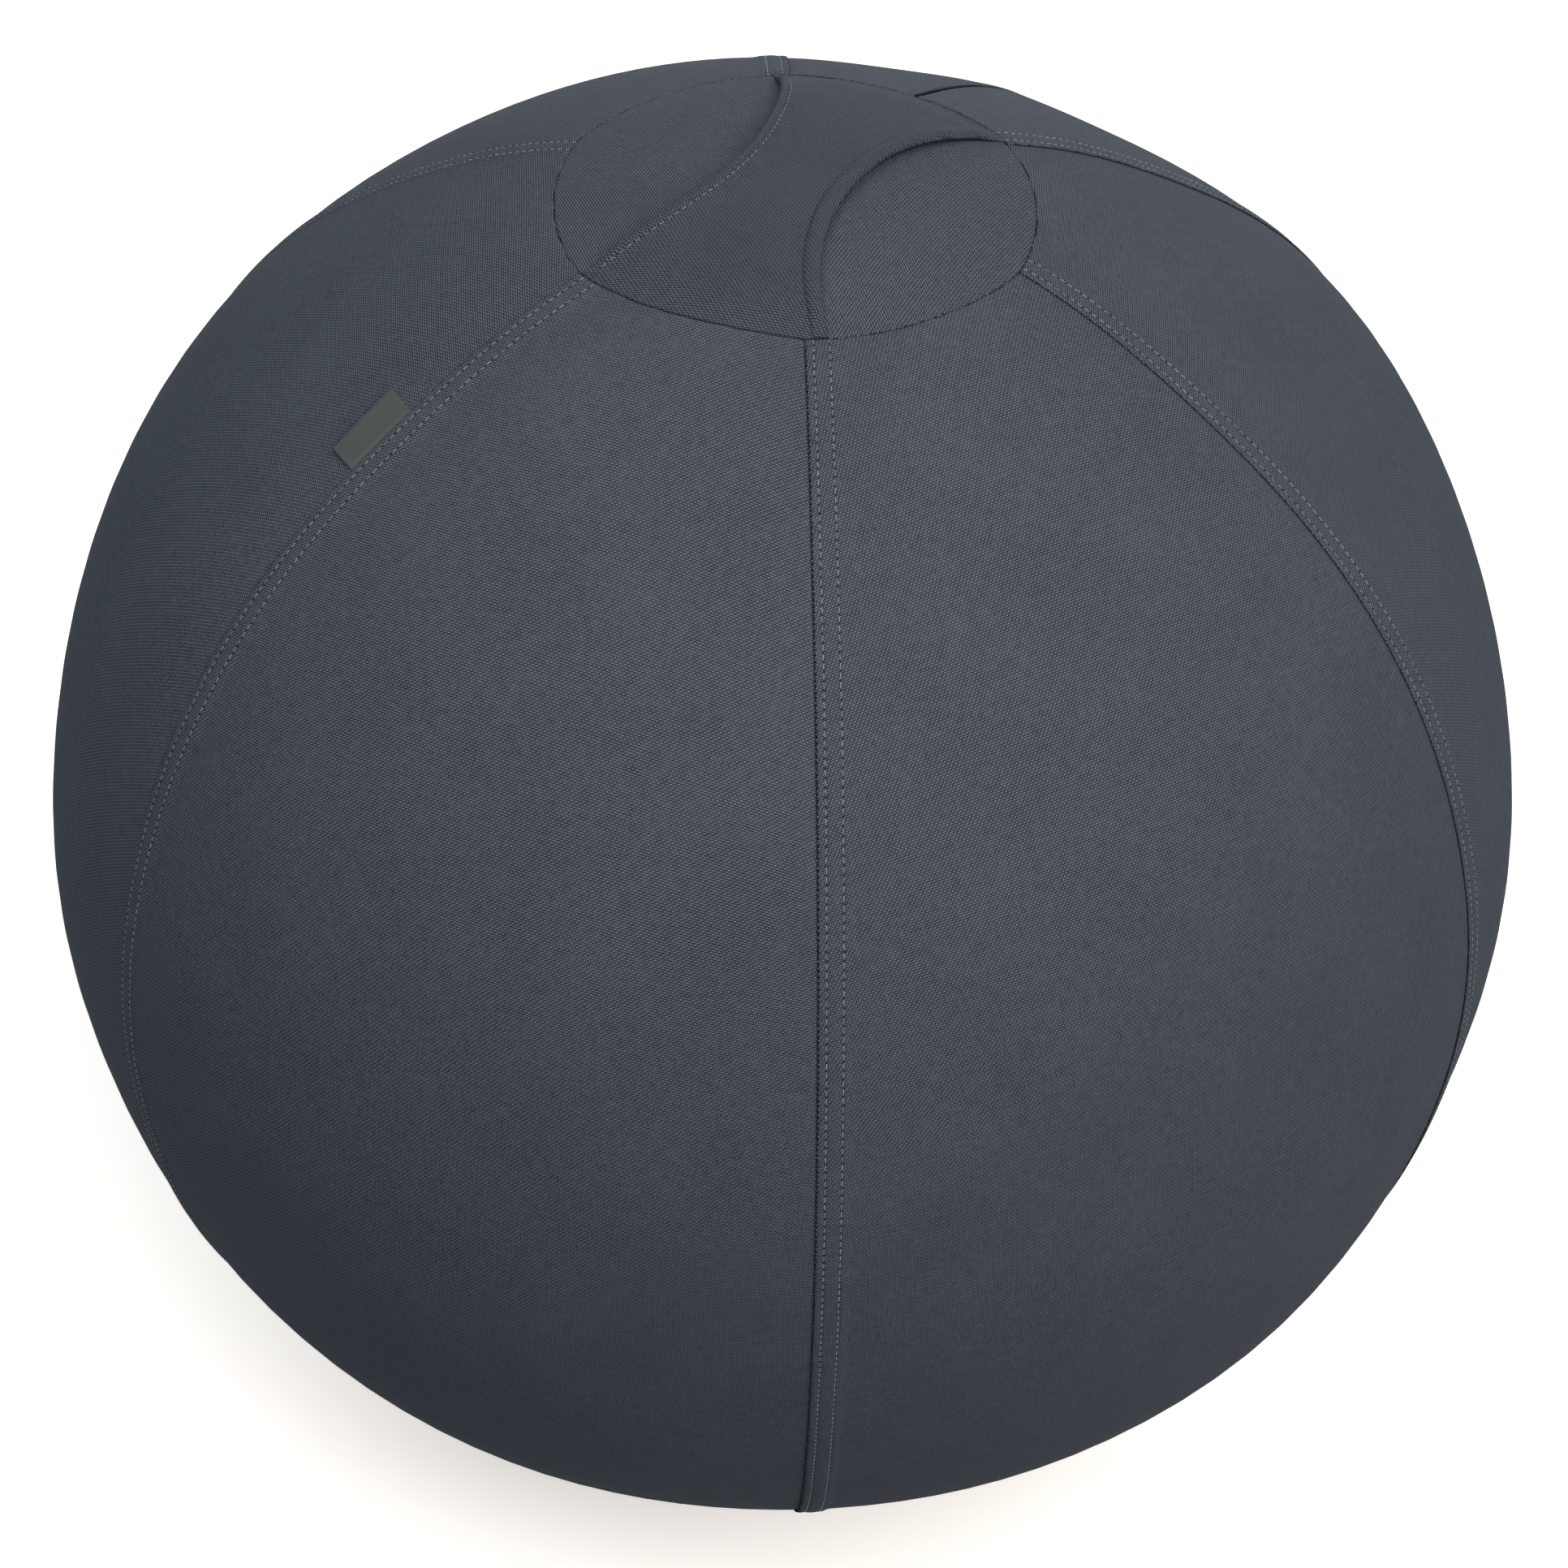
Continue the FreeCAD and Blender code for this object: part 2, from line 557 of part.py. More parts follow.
for end, where, edge, start in ((0, 1, 0, 1), (0, 2, 1, 2), (1, 1, 1, 1), (1, 2, 0, 2)):
    hourglass.addConstraint(Sketcher.Constraint("Coincident", ends[end], where, edges[edge], start))
pad(strap, hourglass, "2 * ball_radius")

SEAT = "(ball_radius + handle_gap)"
SAG = f"({SEAT} + handle_rise - sqrt({SEAT} ^ 2 - crown_radius ^ 2))"
DOME = f"((crown_radius ^ 2 + {SAG} ^ 2) / (2 * {SAG}))"
domes = []
for name, radius in (("handle_top", f"{DOME} + handle_thickness"), ("handle_under", DOME)):
    dome = doc.addObject("Part::Sphere", name)
    dome.Placement.Rotation = Rotation(Vector(1, 0, 0), 90)
    bind(dome, "Radius", radius)
    bind(dome, "Placement.Base.z", f"{SEAT} + handle_rise - {DOME}")
    domes.append(dome)
shell = doc.addObject("Part::Cut", "handle_dome")
shell.Base, shell.Tool = domes
handle = doc.addObject("Part::Common", "carry_handle")
handle.Base, handle.Tool = strap, shell
keep(handle, "carry_handle", LIFT)


# Ballast: a bag of sand between the bottom panel and the ball


def bag(inset):
    """The bag's form, wider at the top, or its inside at that depth."""
    low = ballast_floor + inset - centre_height
    high = ballast_floor + value("pouch_height") - inset - centre_height
    rims = (value("pouch_top_radius") - inset, high), (value("pouch_floor_radius") - inset, low)
    return closed_solid(skin([(0, high), *rims, (0, low)], all_round))


shaped("ballast_pouch", bag(0).cut(bag(value("pouch_wall"))))
shaped("ballast_sand", bag(value("pouch_wall + sew_gap")))


# Valve, turned about its own axis: 0 is the ball's surface and the ball's middle is below


def turned(label, outline):
    """A round piece turned from an outline of (radius, height) formulas."""
    body = doc.addObject("PartDesign::Body", label)
    drawing = new_sketch(body, label + "_outline", "XZ_Plane")
    count = len(outline)
    corners = [Vector(value(out), value(up)) for out, up in outline]
    for i in range(count):
        drawing.addGeometry(Part.LineSegment(corners[i], corners[(i + 1) % count]))
    for i, (out, up) in enumerate(outline):
        drawing.addConstraint(Sketcher.Constraint("Coincident", (i - 1) % count, 2, i, 1))
        if out == "0":
            drawing.addConstraint(Sketcher.Constraint("PointOnObject", i, 1, -2))
        else:
            measure(drawing, "DistanceX", (-1, 1, i, 1), out)
        if up == "0":
            drawing.addConstraint(Sketcher.Constraint("PointOnObject", i, 1, -1))
        else:
            measure(drawing, "DistanceY", (-1, 1, i, 1), up)
    turn = body.newObject("PartDesign::Revolution", label + "_turn")
    turn.Profile = drawing
    turn.ReferenceAxis = (drawing, ["V_Axis"])
    turn.Angle = 360
    outward = on_ball(1, 90, valve_angle)
    return keep(body, label, Placement(LIFT.Base + outward * valve_wall, Rotation(UP, outward)))


FLANGE_TOP = "-(ball_wall + valve_fit)"
FLANGE_UNDER = f"({FLANGE_TOP} - valve_flange_thickness)"
turned("valve_seat", (
    ("valve_bore_radius", "0"),
    ("valve_neck_radius", "0"),
    ("valve_neck_radius", FLANGE_TOP),
    ("valve_flange_radius", FLANGE_TOP),
    ("valve_flange_radius", FLANGE_UNDER),
    ("valve_neck_radius", FLANGE_UNDER),
    ("valve_neck_radius", "-valve_neck_length"),
    ("valve_bore_radius", "-valve_neck_length"),
))
turned("valve_plug", (
    ("0", "-plug_stem_length"),
    ("plug_tip_radius", "-plug_stem_length"),
    ("valve_bore_radius - valve_fit", "-valve_flange_thickness"),
    ("valve_bore_radius - valve_fit", "valve_fit / 2"),
    ("plug_head_radius", "valve_fit / 2"),
    ("plug_head_radius", "valve_fit / 2 + plug_head_thickness"),
    ("0", "valve_fit / 2 + plug_head_thickness"),
))

# Check everything, then write each sub-part

doc.recompute()
for item in doc.Objects:
    if "Invalid" in item.State or "Error" in item.State:
        raise RuntimeError(f"{item.Label} did not build: {item.State}")
for item in nodes:
    if item.Shape.isNull() or not item.Shape.isValid() or not item.Shape.Solids:
        raise RuntimeError(f"{item.Label} has no valid solid")
os.makedirs("parts", exist_ok=True)
for item in nodes:
    item.Shape.exportStep(f"parts/{item.Label}.step")
    print(f"{item.Label}: {len(item.Shape.Solids)} solid, {item.Shape.Volume / 1000:.1f} cm3")
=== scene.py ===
"""Sitting ball: the cloth, stitching, strap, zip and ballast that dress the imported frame.

Shapes are worked out in millimetres about the middle of the ball and written to their meshes in metres.
Polar angles count down from the top of the ball, azimuths count from +X towards +Y.
"""

import math
from types import SimpleNamespace

import bpy
import numpy as np
from mathutils import Matrix


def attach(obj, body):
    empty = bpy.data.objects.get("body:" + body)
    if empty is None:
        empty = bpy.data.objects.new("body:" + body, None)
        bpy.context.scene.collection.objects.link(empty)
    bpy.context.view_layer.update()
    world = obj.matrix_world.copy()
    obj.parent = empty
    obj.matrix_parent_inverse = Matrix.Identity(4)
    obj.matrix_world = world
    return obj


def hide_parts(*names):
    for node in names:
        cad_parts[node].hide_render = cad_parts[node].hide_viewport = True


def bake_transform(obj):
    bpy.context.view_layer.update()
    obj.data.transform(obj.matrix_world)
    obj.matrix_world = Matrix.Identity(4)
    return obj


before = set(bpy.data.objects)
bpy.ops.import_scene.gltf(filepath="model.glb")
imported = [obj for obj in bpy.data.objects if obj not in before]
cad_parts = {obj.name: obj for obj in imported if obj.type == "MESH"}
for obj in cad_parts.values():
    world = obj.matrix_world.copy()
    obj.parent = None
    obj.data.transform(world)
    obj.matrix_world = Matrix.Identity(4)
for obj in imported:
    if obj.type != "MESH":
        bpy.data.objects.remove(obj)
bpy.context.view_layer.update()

bl_info = {
    "name": "Sitting ball",
    "version": (1, 0, 0),
    "blender": (4, 5, 0),
    "location": "View3D > Sidebar > Sitting ball",
    "description": "Woven cover, strap, zip and ballast of a sitting ball, on its packed frame",
    "category": "Object",
}

MM = 0.001
BODY_COVER = "cover"
# Azimuths of the seams and of the zip's slit, in degrees.
SEAMS = {
    "front_right": -60,
    "right": 0,
    "rear_right": 56,
    "rear_left": 119,
    "left": 180,
    "front_left": 240,
}
SLIT = 86
# How fully a seam's fold stands, and how dark the painted shade along it is: the one that faces the camera
# stands off the ball more than the others, with darker painted shade.
SEAM_FULLNESS = {"front_right": 1.0}
OTHER_FULLNESS = 0.65
PANELS = {
    "gore_front": ("front_left", "front_right"),
    "gore_front_right": ("front_right", "right"),
    "gore_rear_right": ("right", "rear_right"),
    "gore_rear_left": ("rear_left", "left"),
    "gore_front_left": ("left", "front_left"),
}


def linear(code):
    """An sRGB hex colour as linear red, green and blue."""
    parts = np.array([int(code[i : i + 2], 16) for i in (0, 2, 4)]) / 255
    return tuple(np.where(parts > 0.04045, ((parts + 0.055) / 1.055) ** 2.4, parts / 12.92))


def colour(name, description, code):
    """A colour that a user may change."""
    return bpy.props.FloatVectorProperty(
        name=name, description=description, subtype="COLOR", size=3, min=0, max=1, default=linear(code)
    )


def length(name, description, millimetres):
    """A length that a user may change."""
    return bpy.props.FloatProperty(
        name=name, description=description, subtype="DISTANCE", unit="LENGTH", min=0, precision=5,
        default=millimetres * MM,
    )


def angle(name, description, degrees):
    """A turn that a user may change."""
    return bpy.props.FloatProperty(
        name=name, description=description, subtype="ANGLE", default=math.radians(degrees)
    )


class SittingBallSizes(bpy.types.PropertyGroup):
    """Sizes of the cloth and its sewing."""

    ball_radius: length("Ball radius", "Outside of the cover", 325)
    floor_radius: length("Floor flat", "Radius of the flat under the ball", 70)
    crown_radius: length("Crown radius", "Rim of the top panel, seen from above", 99.5)
    base_radius: length("Base radius", "Rim of the bottom panel, seen from above", 100)
    cloth: length("Cloth", "Thickness of the cover", 1.2)
    corner: length("Corners", "How far the seams stand out and the panels' middles lie in", 1.6)
    shoulder: length("Shoulder", "How far the upper half swells", 2.4)
    under_crown: length("Under the crown", "How far the part just under the crown is drawn in", 1.5)
    belly: length("Belly", "How far the lower half swells", 1.2)
    sag: length("Sag", "How far the part over the floor is drawn in", 3.8)
    warp_pitch: length("Warp pitch", "Spacing of the threads that run down a panel", 0.93)
    weft_pitch: length("Weft pitch", "Spacing of the threads that run across a panel", 1.05)
    stitch: length("Stitch", "Length of a topstitch", 3.6)
    thread: length("Sewing thread", "Thickness of the topstitching thread", 0.34)
    slit: length("Slit", "Half the width of the zip's slit", 0.95)
    strap_waist: length("Strap waist", "Width of the strap at its middle", 54)
    strap_hollow: length("Strap hollow", "Radius of the strap's hollow edges", 140)
    strap_cloth: length("Strap thickness", "Strap at its hems", 2.2)
    right_hem: length("Right hem", "Width of the strap's right hem", 7.4)
    left_hem: length("Left hem", "Width of the strap's left hem", 4.8)
    left_lift: length("Left lift", "How far the strap's left edge stands up from its dome", 3.2)
    left_hollow: length("Left hollow", "How much hollower the strap's left edge is than its right one", 5.0)
    right_lift: length("Right lift", "How far the strap's right edge stands up from its dome", 1.6)
    strap_rise: length("Strap rise", "How much more gap the strap has at its middle than at its ends", 2.5)
    crown_turn: angle("Crown weave", "Turn of the crown's threads", -42)
    strap_turn: angle("Strap weave", "Turn of the strap's threads", 14)


class SittingBallColours(bpy.types.PropertyGroup):
    """Colours of the cloth, thread, fittings and stage."""

    # The weave's tone runs between these two: the threads' tops are painted light, and the hollows between
    # them are painted dark as shade.
    yarn_lit_top: colour("Light yarn", "Tops of the cover's threads", "5F636C")
    yarn_shaded_hollow: colour("Dark yarn", "Hollows between the cover's threads", "0F151D")
    sewing: colour("Sewing thread", "Topstitching", "80858D")
    label: colour("Label", "Ribbon of the bare tab", "585C59")
    base: colour("Base cloth", "Coated cloth of the bottom panel", "25282D")
    fitting: colour("Fittings", "Enamelled slider, pull and stops", "2B2F36")
    coil: colour("Coil", "Nylon coil and tape of the zip", "22262D")
    lining: colour("Lining", "Bag that holds the ballast", "3A3B3C")
    sand: colour("Sand", "Ballast", "A08D6B")
    skin: colour("Ball skin", "Inflated ball inside the cover", "7A7F86")
    valve: colour("Valve", "Valve of the ball", "D6D6D2")
    floor: colour("Floor", "Pale studio floor", "FAF7F2")


def sizes():
    """The sizes that the user set, with lengths in millimetres and turns in radians."""
    group = bpy.context.scene.sitting_ball_sizes
    return SimpleNamespace(**{
        key: getattr(group, key) / (1 if key.endswith("turn") else MM) for key in group.__annotations__
    })


def colours():
    """The colours that the user set."""
    return bpy.context.scene.sitting_ball_colours


def centre_height():
    """Height of the ball's middle over the floor."""
    return math.sqrt(sizes().ball_radius ** 2 - sizes().floor_radius ** 2)


def rim_polars():
    """Polar angles of the crown's and the base's rims, in radians."""
    s = sizes()
    return math.asin(s.crown_radius / s.ball_radius), math.pi - math.asin(s.base_radius / s.ball_radius)


def smooth(values, low, high):
    """0 below low, 1 above high, and an S-shaped rise between them."""
    t = np.clip((values - low) / (high - low), 0, 1)
    return t * t * (3 - 2 * t)


def crown_rim(azimuth):
    """Plan radius of the crown's rim. It stands out at the six seams, is drawn in between them, and more so
    at the two ends of the strap."""
    s = sizes()
    turned = (azimuth[..., None] - np.radians([-75, 98]) + math.pi) % (2 * math.pi) - math.pi
    pull = np.exp(-((turned / math.radians(30)) ** 2)) @ np.array([3.8, 3.0])
    return s.crown_radius + 0.8 - 2.8 * np.abs(np.sin(3 * azimuth)) - pull


def rim_dashes(azimuth):
    """1 and 0 by turns round the crown's rim, once to each stitch: where the rim seam's stitch holes are
    painted dark as shade.
    """
    s = sizes()
    return 0.5 + 0.5 * np.sign(np.sin(2 * math.pi * azimuth * s.crown_radius / s.stitch))


def drawn_in(polar, azimuth):
    """Polar angles moved with the crown's rim: wholly at the rim, less and less away from it."""
    top, _ = rim_polars()
    shift = np.arcsin(crown_rim(azimuth) / sizes().ball_radius) - top
    inside = np.clip(polar / top, 0, 1) ** 3
    return polar + shift * np.where(polar < top, inside, np.exp(-(((polar - top) / 0.3) ** 2)))


def hump(values, middle, spread):
    """1 at the middle, falling away on both sides like a bell."""
    return np.exp(-(((values - middle) / spread) ** 2))


def swelling(polar, azimuth):
    """How far the filled cover stands out from a true ball. The shoulders and the belly are full, and the
    parts under the crown and over the floor are drawn in. Above the waist the seams stand out and the
    panels' middles lie in, and below it the other way round. The rear right seam, the nape and the right
    flank are fuller still, and the back is hollow beside the slit. Along the zip all this is held back, and
    at the rims of the crown and the base it ends."""
    s = sizes()
    top, bottom = rim_polars()
    up = 90 - np.degrees(polar)
    turned = np.degrees(azimuth) % 360
    round_about = s.shoulder * hump(up, 33, 16) - s.under_crown * hump(up, 56, 9)
    round_about += s.belly * hump(up, -23, 8) - s.sag * hump(up, -48, 14)
    waist = 1.6 * smooth(up, -12, 12) - 0.6
    corners = s.corner * np.cos(np.radians(up)) ** 2 * np.cos(6 * azimuth) * waist
    rear = 3.2 * hump(turned, 54, 18) * hump(up, 36, 14)
    nape = 2.0 * hump(turned, 150, 22) * hump(up, 54, 12)
    flank = 0.8 * hump(turned, 344, 12) * hump(up, -26, 10)
    hollow = 1.3 * hump(turned, 106, 18) * hump(up, 58, 9)
    held = hump(turned, SLIT, 11) * smooth(up, -50, -40)
    rims = smooth(polar, top, top + 0.12) * (1 - smooth(polar, bottom - 0.12, bottom))
    free = round_about + corners + rear + nape + flank - hollow
    return (free * (1 - held) + 0.5 * held * np.maximum(free, 0)) * rims


def over_allowance(along, azimuth):
    """How far a panel's upper edge is raised by the seam allowance of the strap, which is sewn into the rim
    there. Along is the distance from the rim."""
    turned = np.degrees(azimuth) % 360
    front = smooth(turned, 236, 240) * (1 - smooth(turned, 304, 308))
    back = smooth(turned, 54, 58) * (1 - smooth(turned, 122, 126))
    return 0.6 * (front + back) * np.exp(-((along / 5) ** 2))


def on_ball(radius, polar, azimuth):
    """Points at those radii, polar angles and azimuths, standing on the floor."""
    radius, polar, azimuth = np.broadcast_arrays(radius, polar, azimuth)
    polar = drawn_in(polar, azimuth)
    out = radius * np.sin(polar)
    up = centre_height() + radius * np.cos(polar)
    return np.stack((out * np.cos(azimuth), out * np.sin(azimuth), up), axis=-1)


def full_turn(count):
    """Angles of that many even steps round a circle."""
    return np.linspace(0, 2 * math.pi, count + 1)[:-1]


def lathe(profile, count):
    """Points of a profile of radii and heights, turned round the ball's axis."""
    turn = full_turn(count)[None, :]
    out, up = profile[:, :1], profile[:, 1:]
    return np.stack(np.broadcast_arrays(out * np.cos(turn), out * np.sin(turn), up), axis=-1)


def unit(vectors):
    """Vectors brought to a length of 1."""
    return vectors / np.linalg.norm(vectors, axis=-1, keepdims=True)


# Meshes


def enclosed(points, faces):
    """Volume inside the faces, negative if they point inwards: each face is a fan of triangles, and each
    triangle adds the tetrahedron that it makes with the origin."""
    total = 0
    for corners in faces:
        at = points[corners]
        fan = np.cross(at[:, 1:-1], at[:, 2:])
        total += np.einsum("ij,ikj->", at[:, 0], fan) / 6
    return total


def mesh_object(name, points, faces, threads=None, painted_shade=None, flat_faces=0, closed=True):
    """A mesh of points in millimetres. Faces is a list of arrays, each with one row of corners per face.
    Threads gives each point its place in the weave, counted in threads, and painted_shade how far its colour
    is darkened as painted shade in a seam, a fold, a stitch hole or a rim. The last flat_faces faces are
    shaded flat. Faces of a closed piece are turned outwards."""
    points = np.asarray(points, float).reshape(-1, 3) * MM
    if closed and enclosed(points, faces) < 0:
        faces = [f[:, ::-1] for f in faces]
    totals = np.concatenate([np.full(len(f), f.shape[1]) for f in faces])
    corners = np.concatenate([f.ravel() for f in faces])
    mesh = bpy.data.meshes.new(name)
    mesh.vertices.add(len(points))
    mesh.vertices.foreach_set("co", points.astype(np.float32).ravel())
    mesh.loops.add(len(corners))
    mesh.loops.foreach_set("vertex_index", corners.astype(np.int32))
    mesh.polygons.add(len(totals))
    mesh.polygons.foreach_set("loop_start", np.concatenate([[0], np.cumsum(totals)[:-1]]).astype(np.int32))
    mesh.polygons.foreach_set("use_smooth", np.arange(len(totals)) < len(totals) - flat_faces)
    mesh.update(calc_edges=True)
    if threads is not None:
        layer = mesh.uv_layers.new(name="threads")
        layer.data.foreach_set("uv", np.asarray(threads, np.float32).reshape(-1, 2)[corners].ravel())
    # Painted shade: a share for each point by which the weave's colour is darkened.
    if painted_shade is not None:
        layer = mesh.attributes.new("painted_shade", "FLOAT", "POINT")
        layer.data.foreach_set("value", np.asarray(painted_shade, np.float32).ravel())
    mesh.validate()
    item = bpy.data.objects.new(name, mesh)
    bpy.context.scene.collection.objects.link(item)
    return item


def grid_faces(rows, columns, around=False, along=False):
    """Corners of the faces of a grid of points, closed across its columns or its rows if asked."""
    index = np.arange(rows * columns).reshape(rows, columns)
    if around:
        index = np.concatenate([index, index[:, :1]], axis=1)
    if along:
        index = np.concatenate([index, index[:1]], axis=0)
    corners = index[:-1, :-1], index[:-1, 1:], index[1:, 1:], index[1:, :-1]
    return np.stack(corners, axis=-1).reshape(-1, 4)


def tube_faces(rows, columns):
    """Faces of a closed section carried along a path, with both ends closed."""
    first = np.arange(columns)[::-1][None]
    last = (np.arange(columns) + (rows - 1) * columns)[None]
    return [grid_faces(rows, columns, around=True), first, last]


def repeated(faces, count, step):
    """Faces of that many copies of one form, which has step points."""
    offsets = (np.arange(count) * step)[:, None, None]
    return [(part[None] + offsets).reshape(-1, part.shape[1]) for part in faces]


def finish_piece(item, body, slot, material, *nodes):
    """Gives a piece its body, its material and the CAD nodes that it stands for. Its slot is not used."""
    item.data.materials.append(material)
    if body:
        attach(item, body)
    if nodes:
        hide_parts(*nodes)
    return item


def dress_nodes(material, *names):
    """Gives a material to CAD nodes that are shown as they are."""
    for name in names:
        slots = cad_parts[name].data.materials
        slots.clear()
        slots.append(material)


# Materials


def new_material(name):
    """An empty material with one shader and its output."""
    material = bpy.data.materials.new(name)
    material.use_nodes = True
    material.node_tree.nodes.clear()
    tree = material.node_tree
    shader = add(tree, "BsdfPrincipled")
    add(tree, "OutputMaterial", {"Surface": shader.outputs["BSDF"]})
    return material, tree, shader


def add(tree, kind, inputs=None, **settings):
    """One shader node with its settings, and with each input set to a value or linked from a socket."""
    node = tree.nodes.new("ShaderNode" + kind)
    for key, value in settings.items():
        setattr(node, key, value)
    for key, value in (inputs or {}).items():
        socket = node.inputs[key]
        if isinstance(value, bpy.types.NodeSocket):
            tree.links.new(value, socket)
        else:
            socket.default_value = value
    return node


def maths(tree, operation, *values):
    """The result of a sum of one, two or three values or sockets."""
    return add(tree, "Math", dict(enumerate(values)), operation=operation).outputs[0]


def dimmed(base, share):
    """A colour times a share, kept within 1."""
    return tuple(min(1, share * part) for part in base)


def blended(tree, share, low, high):
    """A colour between two others, each a colour or a socket."""
    node = add(tree, "Mix", data_type="RGBA")
    for key, value in ((0, share), (6, low), (7, high)):
        if isinstance(value, bpy.types.NodeSocket):
            tree.links.new(value, node.inputs[key])
        else:
            node.inputs[key].default_value = value if key == 0 else (*value, 1)
    return node.outputs[2]


def weave_material(name, light, dark, fleck=0.35, roughness=0.9, slant=0.14, tones=(0.26, 1.3)):
    """Solution-dyed polyester yarn, woven plain and coarse.
    To the eye: rows of short floats with painted highlights, each a little slanted by the yarn's twist, and
    hollows between them painted dark as shade, a little uneven from yarn to yarn, a matt face with a faint
    bloom of loose fibre at its turned-away edges, and painted shade in the seams, folds, stitch holes and
    rims, darkest where the painted_shade attribute is 1."""
    material, tree, shader = new_material(name)
    place = add(tree, "UVMap", uv_map="threads").outputs["UV"]
    parts = add(tree, "SeparateXYZ", {0: place})
    across, along = parts.outputs[0], parts.outputs[1]
    warp_turn = maths(tree, "MULTIPLY", across, math.pi)
    warp_wave = maths(tree, "SINE", warp_turn)
    twist = maths(tree, "MULTIPLY", maths(tree, "COSINE", warp_turn), maths(tree, "SIGN", warp_wave))
    slanted = maths(tree, "MULTIPLY_ADD", twist, slant, along)
    weft_wave = maths(tree, "SINE", maths(tree, "MULTIPLY", slanted, math.pi))
    warp_over = maths(tree, "MULTIPLY", weft_wave, maths(tree, "SIGN", warp_wave))
    weft_over = maths(tree, "MULTIPLY", warp_wave, maths(tree, "SIGN", weft_wave))
    warp = maths(tree, "MULTIPLY_ADD", maths(tree, "ABSOLUTE", warp_wave), 0.45,
                 maths(tree, "MULTIPLY", warp_over, 0.5))
    weft = maths(tree, "MULTIPLY_ADD", maths(tree, "ABSOLUTE", weft_wave), 0.9,
                 maths(tree, "MULTIPLY", weft_over, -0.5))
    height = maths(tree, "MAXIMUM", warp, weft)

    def yarn(stretch):
        """Unevenness that runs along one set of yarns."""
        turned = add(tree, "Mapping", {"Vector": place, "Scale": stretch}).outputs[0]
        return add(tree, "TexNoise", {"Vector": turned, "Scale": 1.0, "Detail": 2.0}).outputs[0]

    slub = maths(tree, "ADD", yarn((0.8, 0.15, 1)), yarn((0.15, 0.8, 1)))
    cloud = add(tree, "TexNoise", {"Vector": place, "Scale": 0.02, "Detail": 2.0}).outputs[0]
    uneven = maths(tree, "ADD", maths(tree, "MULTIPLY_ADD", slub, fleck, -fleck),
                   maths(tree, "MULTIPLY_ADD", cloud, 0.16, -0.08))
    # Painted light and shade: the tone follows the weave's height, so the floats' tops are painted light and
    # the hollows between them dark as shade. The slub and cloud unevenness is the yarn's own.
    low, high = tones
    tone = add(
        tree, "MapRange", {0: height, 1: low, 2: high}, interpolation_type="SMOOTHSTEP"
    ).outputs[0]
    tone = maths(tree, "ADD", tone, uneven)
    cloth = blended(tree, add(tree, "Clamp", {0: tone}).outputs[0], dark, light)
    # Painted shade in seams, folds, stitch holes and rims: the colour falls towards a fifth of the hollows'
    # dark where the painted_shade attribute rises.
    painted_shade = add(tree, "Attribute", attribute_name="painted_shade").outputs["Fac"]
    shade = blended(tree, painted_shade, cloth, dimmed(dark, 0.2))
    tree.links.new(shade, shader.inputs["Base Color"])
    bump = add(tree, "Bump", {"Strength": 0.55, "Distance": 0.0005, "Height": height})
    tree.links.new(bump.outputs[0], shader.inputs["Normal"])
    shader.inputs["Roughness"].default_value = roughness
    shader.inputs["Specular IOR Level"].default_value = 0.1
    shader.inputs["Sheen Weight"].default_value = 0.03
    shader.inputs["Sheen Roughness"].default_value = 0.5
    shader.inputs["Sheen Tint"].default_value = (0.75, 0.87, 1, 1)
    return material


def grained_material(name, base, roughness, grain_mm, depth_mm, ior=1.5, variation=0.12, coat=0.0):
    """A plain finish with a fine grain: its colour and roughness wander a little, and its surface follows a
    noise whose grain is given in millimetres."""
    material, tree, shader = new_material(name)
    place = add(tree, "TexCoord").outputs["Object"]
    fine = 1 / (grain_mm * MM)
    grain = add(tree, "TexNoise", {"Vector": place, "Scale": fine, "Detail": 3.0}).outputs[0]
    patch = add(tree, "TexNoise", {"Vector": place, "Scale": 0.06 * fine, "Detail": 2.0}).outputs[0]
    worn = blended(tree, patch, dimmed(base, 1 - variation), dimmed(base, 1 + variation))
    tree.links.new(worn, shader.inputs["Base Color"])
    low, high = max(0.03, roughness - 0.08), min(1, roughness + 0.08)
    rough = add(tree, "MapRange", {0: grain, 3: low, 4: high}).outputs[0]
    tree.links.new(rough, shader.inputs["Roughness"])
    bump = add(tree, "Bump", {"Strength": 0.5, "Distance": depth_mm * MM, "Height": grain})
    tree.links.new(bump.outputs[0], shader.inputs["Normal"])
    shader.inputs["IOR"].default_value = ior
    shader.inputs["Coat Weight"].default_value = coat
    return material


def twisted_thread_material(name, base):
    """Spun polyester sewing thread with a slight lustre.
    To the eye: its tone goes from light to dark and back along a row, as twisted plies catch the light."""
    material, tree, shader = new_material(name)
    place = add(tree, "TexCoord").outputs["Object"]
    # At a scale of 1, one wave on the diagonal is 0.628 long.
    scale = 0.628 / (20 * MM)
    wave = add(
        tree, "TexWave", {"Vector": place, "Scale": scale, "Distortion": 1.5}, bands_direction="DIAGONAL"
    ).outputs["Fac"]
    tree.links.new(blended(tree, wave, dimmed(base, 0.6), base), shader.inputs["Base Color"])
    bump = add(tree, "Bump", {"Strength": 0.3, "Distance": 0.0001, "Height": wave})
    tree.links.new(bump.outputs[0], shader.inputs["Normal"])
    shader.inputs["Roughness"].default_value = 0.55
    shader.inputs["Sheen Weight"].default_value = 0.2
    return material


def cover_material():
    """The panels' cloth, made once."""
    c = colours()
    return bpy.data.materials.get("woven_polyester_cover") or weave_material(
        "woven_polyester_cover", tuple(c.yarn_lit_top), tuple(c.yarn_shaded_hollow)
    )


